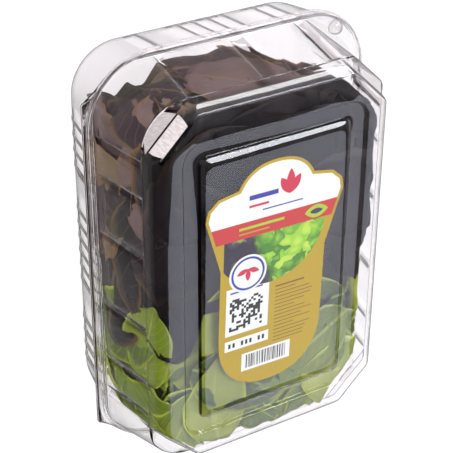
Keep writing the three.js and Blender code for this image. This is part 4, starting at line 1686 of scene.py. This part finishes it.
@dataclass
class Label:
    """The die-cut label and its generic print, as thin fields of colour that lie one over another."""

    centre: Point = (-1.5, 0.0)
    turn: float = math.radians(-1.5)
    low: float = 99.95
    thickness: float = 0.22
    ink: float = 0.035
    head: float = 46.0
    head_top: float = 57.0
    head_foot: float = 47.0
    notch: Point = (25.0, 62.5)
    crown: float = 77.0
    waist: float = 35.4
    waist_top: float = 12.0
    waist_foot: float = -38.0
    foot: float = -75.5
    border: float = 1.9
    band: Point = (30.3, 41.0)
    overlap: float = 0.01  # how far each ink sinks into the plate

    def __post_init__(self) -> None:
        """Makes the label's finishes and empties its print."""
        papers = {name: PrintedPaper(f"label_{name}", colour) for name, colour in LABEL_COLOURS.items()}
        self.finishes = {name: paper.material() for name, paper in papers.items()}
        self.finishes["leafy"] = LeafyPrint().material()
        self.points: list[Place] = []
        self.faces: list[Face] = []
        self.slots: list[int] = []

    def outline(self) -> Polygon:
        """The die-cut outline, anticlockwise from its foot."""
        half = [
            (self.waist, self.waist_foot), (self.waist, self.waist_top), (self.head, self.head_foot),
            (self.head - 1.5, self.head_top - 3), (self.head - 8, self.head_top + 3), self.notch,
        ]
        foot, crown, x = (0.0, self.foot), (0.0, self.crown), self.notch[0]
        foot_handle, waist_handle = (self.waist * 0.75, self.foot), (self.waist, self.foot * 0.75)
        notch_handle, crown_handle = (x * 0.8, self.crown - 4), (x * 0.45, self.crown)
        side = bezier(foot, foot_handle, waist_handle, half[0]) + half[1:]
        side += bezier(self.notch, notch_handle, crown_handle, crown)[:-1]
        return [foot, *side, crown, *((-px, py) for px, py in reversed(side))]

    def inset(self, line: Polygon, by: float) -> Polygon:
        """Moves an anticlockwise outline inwards by a distance."""
        points = np.array(line)
        before, after = np.roll(points, 1, axis=0), np.roll(points, -1, axis=0)
        one, two = points - before, after - points
        one, two = (v / np.linalg.norm(v, axis=1, keepdims=True) for v in (one, two))
        normals = np.column_stack([-(one + two)[:, 1], (one + two)[:, 0]])
        normals = normals / np.linalg.norm(normals, axis=1, keepdims=True)
        stretch = np.sum(normals * np.column_stack([-one[:, 1], one[:, 0]]), axis=1, keepdims=True)
        return [tuple(p) for p in points + normals * by / np.maximum(stretch, 0.5)]

    def field(self, polygon: Polygon, finish: str, layer: int) -> None:
        """Lays a flat field of colour on the label.

        Args:
            polygon: Its outline in the label's own frame.
            finish: The name of its finish.
            layer: How many inks lie under it; 0 is the label's own plate.
        """
        base = self.low if layer == 0 else self.low + self.thickness - self.overlap
        top = self.low + self.thickness + self.ink * layer
        work = bmesh.new()
        face = work.faces.new([work.verts.new((x, y, 0)) for x, y in polygon])
        face.normal_update()
        if face.normal.z < 0:
            face.normal_flip()
        bmesh.ops.triangulate(work, faces=work.faces[:])
        work.verts.index_update()
        tris = [tuple(v.index for v in f.verts) for f in work.faces]
        flat = [(v.co.x, v.co.y) for v in work.verts]
        work.free()
        start, count = len(self.points), len(flat)
        placed = turned(flat, self.turn, (self.centre[0] + MIDDLE_X, self.centre[1]))
        self.points += [(x, y, z) for z in (top, base) for x, y in placed]
        area = sum(a[0] * b[1] - b[0] * a[1] for a, b in zip(flat, flat[1:] + flat[:1]))
        border = list(range(start, start + count))[::1 if area > 0 else -1]
        self.faces += [(start + a, start + b, start + c) for a, b, c in tris]
        self.faces += [(start + count + a, start + count + c, start + count + b) for a, b, c in tris]
        self.faces += [(a, count + a, count + b, b) for a, b in zip(border, border[1:] + border[:1])]
        names = list(self.finishes)
        own, under = names.index(finish), names.index("white" if layer == 0 else finish)
        self.slots += [own] * len(tris) + [under] * len(tris) + [own] * count

    def box(self, x: float, y: float, width: float, height: float, finish: str, layer: int) -> None:
        """Lays an upright box with its lower left corner at x, y."""
        self.field([(x, y), (x + width, y), (x + width, y + height), (x, y + height)], finish, layer)

    def disc(self, middle: Point, radius: float, finish: str, layer: int) -> None:
        """Lays a disc."""
        self.field(ring(radius, 40, middle), finish, layer)

    def petal(self, foot: Point, size: Point, way: float, finish: str, layer: int) -> None:
        """Lays a pointed petal.

        Args:
            foot: Where it starts.
            size: Its length and width.
            way: Where it points, in degrees.
            finish: The name of its finish.
            layer: How many inks lie under it.
        """
        steps, (length, width) = 10, size
        turns = [k / steps for k in range(steps + 1)]
        side = [(length * t, 0.5 * width * math.sin(math.pi * t) ** 0.8) for t in turns]
        line = side + [(x, -y) for x, y in reversed(side[1:-1])]
        self.field(turned(line[::-1], math.radians(way), foot), finish, layer)

    def head_print(self) -> None:
        """White head with a sprout over two bars, and the red band with its lozenges."""
        inner = self.inset(self.outline(), self.border)
        low, high = self.band
        self.field(clipped(inner, (0, high - 0.2), (0, 1)), "white", 1)
        self.field(clipped(clipped(inner, (0, low), (0, 1)), (0, high), (0, -1)), "band", 2)
        for layer, (way, length) in enumerate(((60, 13), (120, 13), (90, 16))):
            self.petal((9.0, 52.5), (length, 5.6), way, "rose", 2 + layer)
        self.box(-18.0, 54.5, 19.0, 3.0, "blue", 2)
        self.box(-18.0, 49.6, 13.0, 1.5, "rose", 2)
        self.box(-9.0, 46.0, 27.0, 0.8, "blue", 2)
        self.petal((20.0, 35.6), (16.0, 8.6), 0.0, "lime", 3)
        self.petal((23.5, 35.6), (9.0, 3.6), 0.0, "violet", 4)
        self.box(-24.0, 36.0, 30.0, 1.7, "lime", 3)
        self.box(-24.0, 33.0, 20.0, 0.9, "gold", 3)

    def picture(self) -> None:
        """The leafy field under the band, round at its foot, and a plain white patch over it."""
        line = clipped(ring(37.5, 72, (-3.0, 33.0)), (0, self.band[0]), (0, -1))
        run, rise = self.head - self.waist, self.head_foot - self.waist_top
        length = math.hypot(run, rise)
        for sx in (-1, 1):
            inward = (-sx * rise / length, run / length)
            edge = (sx * (self.waist - self.border), self.waist_top)
            line = clipped(line, edge, inward)
            line = clipped(line, edge, (-sx, 0))
        self.field(line, "leafy", 2)
        middle = (-17.0, 6.0)
        for layer, (radius, finish) in enumerate(((12.6, "white"), (11.2, "blue"), (9.8, "white"))):
            self.disc(middle, radius, finish, 3 + layer)
        for layer, way in enumerate((200, 270, 340)):
            self.petal((middle[0], middle[1] + 3.0), (8.0, 3.4), way, "rose", 6 + layer)

    def small_print(self) -> None:
        """Rows of small bars, a square of cells, a date strip and a stripe panel."""
        random = np.random.default_rng(7)
        bars_x, bars_y, bar_pitch = 2.5, -12.0, 2.6
        for row in range(15):
            width = random.uniform(19, 27) if row % 5 else 14.0
            self.box(bars_x, bars_y - bar_pitch * row, width, 0.5, "umber", 1)
        self.box(bars_x, -9.6, 20.0, 1.0, "umber", 1)
        self.box(-31.0, -35.0, 29.0, 33.0, "white", 1)
        self.box(-28.5, -5.6, 22.0, 1.1, "blue", 2)
        cells, cell, left, foot = 14, 1.6, -28.5, -32.0
        filled = random.random((cells, cells)) < 0.5
        for i in range(cells):
            for j in range(cells):
                if filled[i, j]:
                    self.box(left + cell * i, foot + cell * j, cell, cell, "black", 2)
        self.box(-31.0, -46.0, 30.0, 7.4, "white", 1)
        for k in (0, 1, 3, 4, 5, 7, 8):
            self.box(-28.6 + 2.9 * k, -44.0, 1.5, 3.2, "black", 2)
        self.box(-19.0, -64.0, 34.0, 13.0, "white", 1)
        x, last_stripe = -16.0, 12.0
        while x < last_stripe:
            width = random.choice((0.3, 0.5, 0.8))
            self.box(x, -62.0, width, 9.6, "black", 2)
            x += width + random.choice((0.35, 0.6, 0.9))

    def build(self) -> bpy.types.Object:
        """Builds the label and hands it over."""
        self.field(self.outline(), "gold", 0)
        self.head_print()
        self.picture()
        self.small_print()
        materials = list(self.finishes.values())
        label = new_object("pack_label", np.array(self.points), self.faces, materials, smooth=False)
        label.data.polygons.foreach_set("material_index", self.slots)
        hand_over(label, "lid", "label_paper", "label")
        return label


# Studio


class LightRole(Enum):
    """Whether a softbox lights the pack or only shows in its gloss."""

    LIT = "lit"
    MIRRORED = "mirrored"


@dataclass(frozen=True)
class SoftLight:
    """One rectangular softbox."""

    name: str
    towards: Place
    distance: float
    size: Point
    radiance: float
    role: LightRole
    colour: Colour = (1.0, 1.0, 1.0)  # linear
    aim: Place = (0.0, 0.0, 0.06)

    def build(self) -> None:
        """Adds the light, facing its aim."""
        light = bpy.data.lights.new(self.name, "AREA")
        light.shape = "RECTANGLE"
        light.size, light.size_y = self.size
        light.energy = self.radiance * math.pi * self.size[0] * self.size[1]
        light.color = self.colour
        lamp = bpy.data.objects.new(self.name, light)
        lamp.visible_diffuse = self.role is LightRole.LIT
        lamp.visible_glossy = self.role is LightRole.MIRRORED
        lamp.visible_transmission = False
        way = Vector(self.towards).normalized()
        place = Vector(self.aim) + way * self.distance
        lamp.matrix_world = Matrix.Translation(place) @ way.to_track_quat("Z", "Y").to_matrix().to_4x4()
        bpy.context.scene.collection.objects.link(lamp)


VEIL_TINT = (0.84, 0.86, 1.0)  # linear
STRIPE_TINT = (0.93, 0.94, 1.0)


@dataclass
class Studio:
    """Floor, lights, world and camera."""

    camera_at: Place = (-0.3755, 0.4652, 0.6818)
    right: Place = (0.8625, 0.0051, 0.5060)
    up: Place = (0.2646, 0.8479, -0.4595)
    lens: float = 113.65
    sensor: float = 36.0
    floor_half: float = 4.0
    horizon_light: float = 1.1
    zenith_light: float = 0.3
    fade: Point = (0.2, 0.5)  # heights of the view between which the horizon's light dies away
    bright_side: Place = (0.43, 0.9, 0.0)
    side_fade: Point = (-0.3, 0.4)
    dark_share: float = 0.06
    room_colour: Colour = (0.97, 0.98, 1.0)  # linear
    straight_light: float = 0.9  # what shows of the room through the shells' edges
    lights: tuple[SoftLight, ...] = (
        SoftLight("veil_box", (0.44, -0.61, 0.66), 1.7, (0.9, 0.78), 3.4, LightRole.MIRRORED, VEIL_TINT),
        SoftLight("stripe_box", (0.43, 0.30, 0.85), 2.2, (1.3, 1.0), 22.0, LightRole.MIRRORED, STRIPE_TINT),
        SoftLight("back_strip", (0.43, 0.89, 0.09), 2.0, (1.5, 0.24), 18.0, LightRole.MIRRORED),
        SoftLight("top_box", (0.30, 0.25, 0.90), 2.2, (1.3, 1.3), 6.4, LightRole.LIT),
        SoftLight("side_box", (-0.96, 0.10, 0.14), 2.2, (1.2, 1.2), 12.0, LightRole.LIT),
        SoftLight("head_box", (-0.10, 0.96, 0.16), 2.2, (1.2, 1.0), 8.5, LightRole.LIT),
    )

    def floor(self) -> None:
        """Lays the floor just under the tub's base."""
        half, z = self.floor_half / MM, -0.05
        points = np.array([(-half, -half, z), (half, -half, z), (half, half, z), (-half, half, z)])
        floor = new_object("studio_floor", points, [(0, 1, 2, 3)], [StudioFloor().material()], smooth=False)

    def camera(self) -> None:
        """Sets the camera where the photograph was taken from."""
        data = bpy.data.cameras.new("photo_camera")
        data.lens, data.sensor_width = self.lens, self.sensor
        data.clip_start, data.clip_end = 0.01, 50.0
        camera = bpy.data.objects.new("photo_camera", data)
        x, y = Vector(self.right).normalized(), Vector(self.up).normalized()
        z = x.cross(y).normalized()
        turn = Matrix((x, z.cross(x), z)).transposed().to_4x4()
        camera.matrix_world = Matrix.Translation(self.camera_at) @ turn
        bpy.context.scene.collection.objects.link(camera)
        bpy.context.scene.camera = camera

    def world(self) -> bpy.types.World:
        """Makes a room that is bright round the horizon and dim overhead.

        What lies straight behind a clear shell is plain, and only what shells mirror and what lights
        the pack comes from the graded room.
        """
        graph = WorldGraph("studio_world")
        way = graph.add("ShaderNodeTexCoord").outputs["Generated"]
        height = graph.ramp(graph.axes(way)[2], *self.fade)
        overhead = graph.spread(height, self.horizon_light, self.zenith_light)
        facing = graph.add("ShaderNodeVectorMath", {0: way, 1: self.bright_side}, operation="DOT_PRODUCT")
        side = graph.spread(graph.ramp(facing.outputs["Value"], *self.side_fade), self.dark_share, 1.0)
        path = graph.add("ShaderNodeLightPath").outputs
        graded = graph.math("MAXIMUM", graph.is_one(path["Glossy Depth"]), path["Diffuse Depth"])
        room = {0: graded, 2: self.straight_light, 3: graph.times(overhead, side)}
        return graph.lit(self.room_colour, graph.add("ShaderNodeMix", room).outputs[0])

    def build(self) -> None:
        """Builds the studio."""
        scene = bpy.context.scene
        self.floor()
        for light in self.lights:
            light.build()
        scene.world = self.world()
        self.camera()
        scene.view_settings.view_transform = "Standard"
        scene.cycles.max_bounces = 20  # enough for light through both walls of both shells
        scene.cycles.transmission_bounces = 18
        scene.cycles.transparent_max_bounces = 24


# The pack


RED_SKIN = LeafFinish(
    name="red_leaf",
    tones=(
        (0.0, (10, 5, 9)), (0.3, (34, 22, 28)), (0.6, (66, 48, 54)),
        (0.85, (98, 80, 78)), (1.0, (112, 94, 70)),
    ),
    rib=(104, 82, 72),
    # rim partly painted as glow
    rim=(132, 98, 44),
    rim_and_glow_share=0.5,
    underside=(98, 82, 84),
    patch=(66, 66, 24),
    patch_share=0.35,
    # painted shade near the heap's top
    crown_painted_shade=0.92,
    specular=0.16,
)
GREEN_SKIN = LeafFinish(
    name="green_leaf",
    tones=((0.0, (42, 60, 4)), (0.35, (80, 100, 8)), (0.65, (118, 134, 20)), (1.0, (152, 160, 44))),
    rib=(160, 172, 72),
    # rim partly painted as glow
    rim=(172, 186, 40),
    rim_and_glow_share=0.7,
    underside=(144, 158, 70),
    patch=(100, 126, 24),
    patch_share=0.35,
    # painted shade near the heap's top
    crown_painted_shade=0.15,
)


def main() -> None:
    """Builds the pack's pieces in order, then the studio."""
    grooves = Ribs(
        sides=tuple((y, 6.0) for y in (-87.0, -63.5, -25.0, 25.0, 63.5, 87.0)),
        ends=((-46.0, 6.0), (3.0, 12.0), (46.0, 6.0)),
        depth=-2.2,
    )
    flutes = Ribs(
        sides=tuple((sy * y, 9.0) for y in (5.0, 15.0, 25.0, 54.0, 64.0, 74.0, 84.0) for sy in (-1, 1)),
        ends=tuple((x, 9.0) for x in (-44.0, -17.0, -7.0, 3.0, 13.0, 34.0, 44.0)),
        depth=2.6,
    )
    Lid("clear_lid", "lid", grooves, ClearPlastic("lid_film"), True).build()
    Tub("clear_tub", "tub", flutes, ClearPlastic("tub_film"), False).build()
    SnapStuds(ClearPlastic("stud_film")).build()
    Droplets().build()
    SaladHeap(
        red=LeafKind("red", 100.0, 70.0, 1.6, 0.06, 0.72, RED_SKIN),
        green=LeafKind("green", 68.0, 42.0, 1.5, 0.02, 0.9, GREEN_SKIN),
    ).build()
    Label().build()
    Studio().build()


if __name__ == "__main__":
    logging.basicConfig(level=logging.INFO, format="%(name)s %(message)s")
    main()
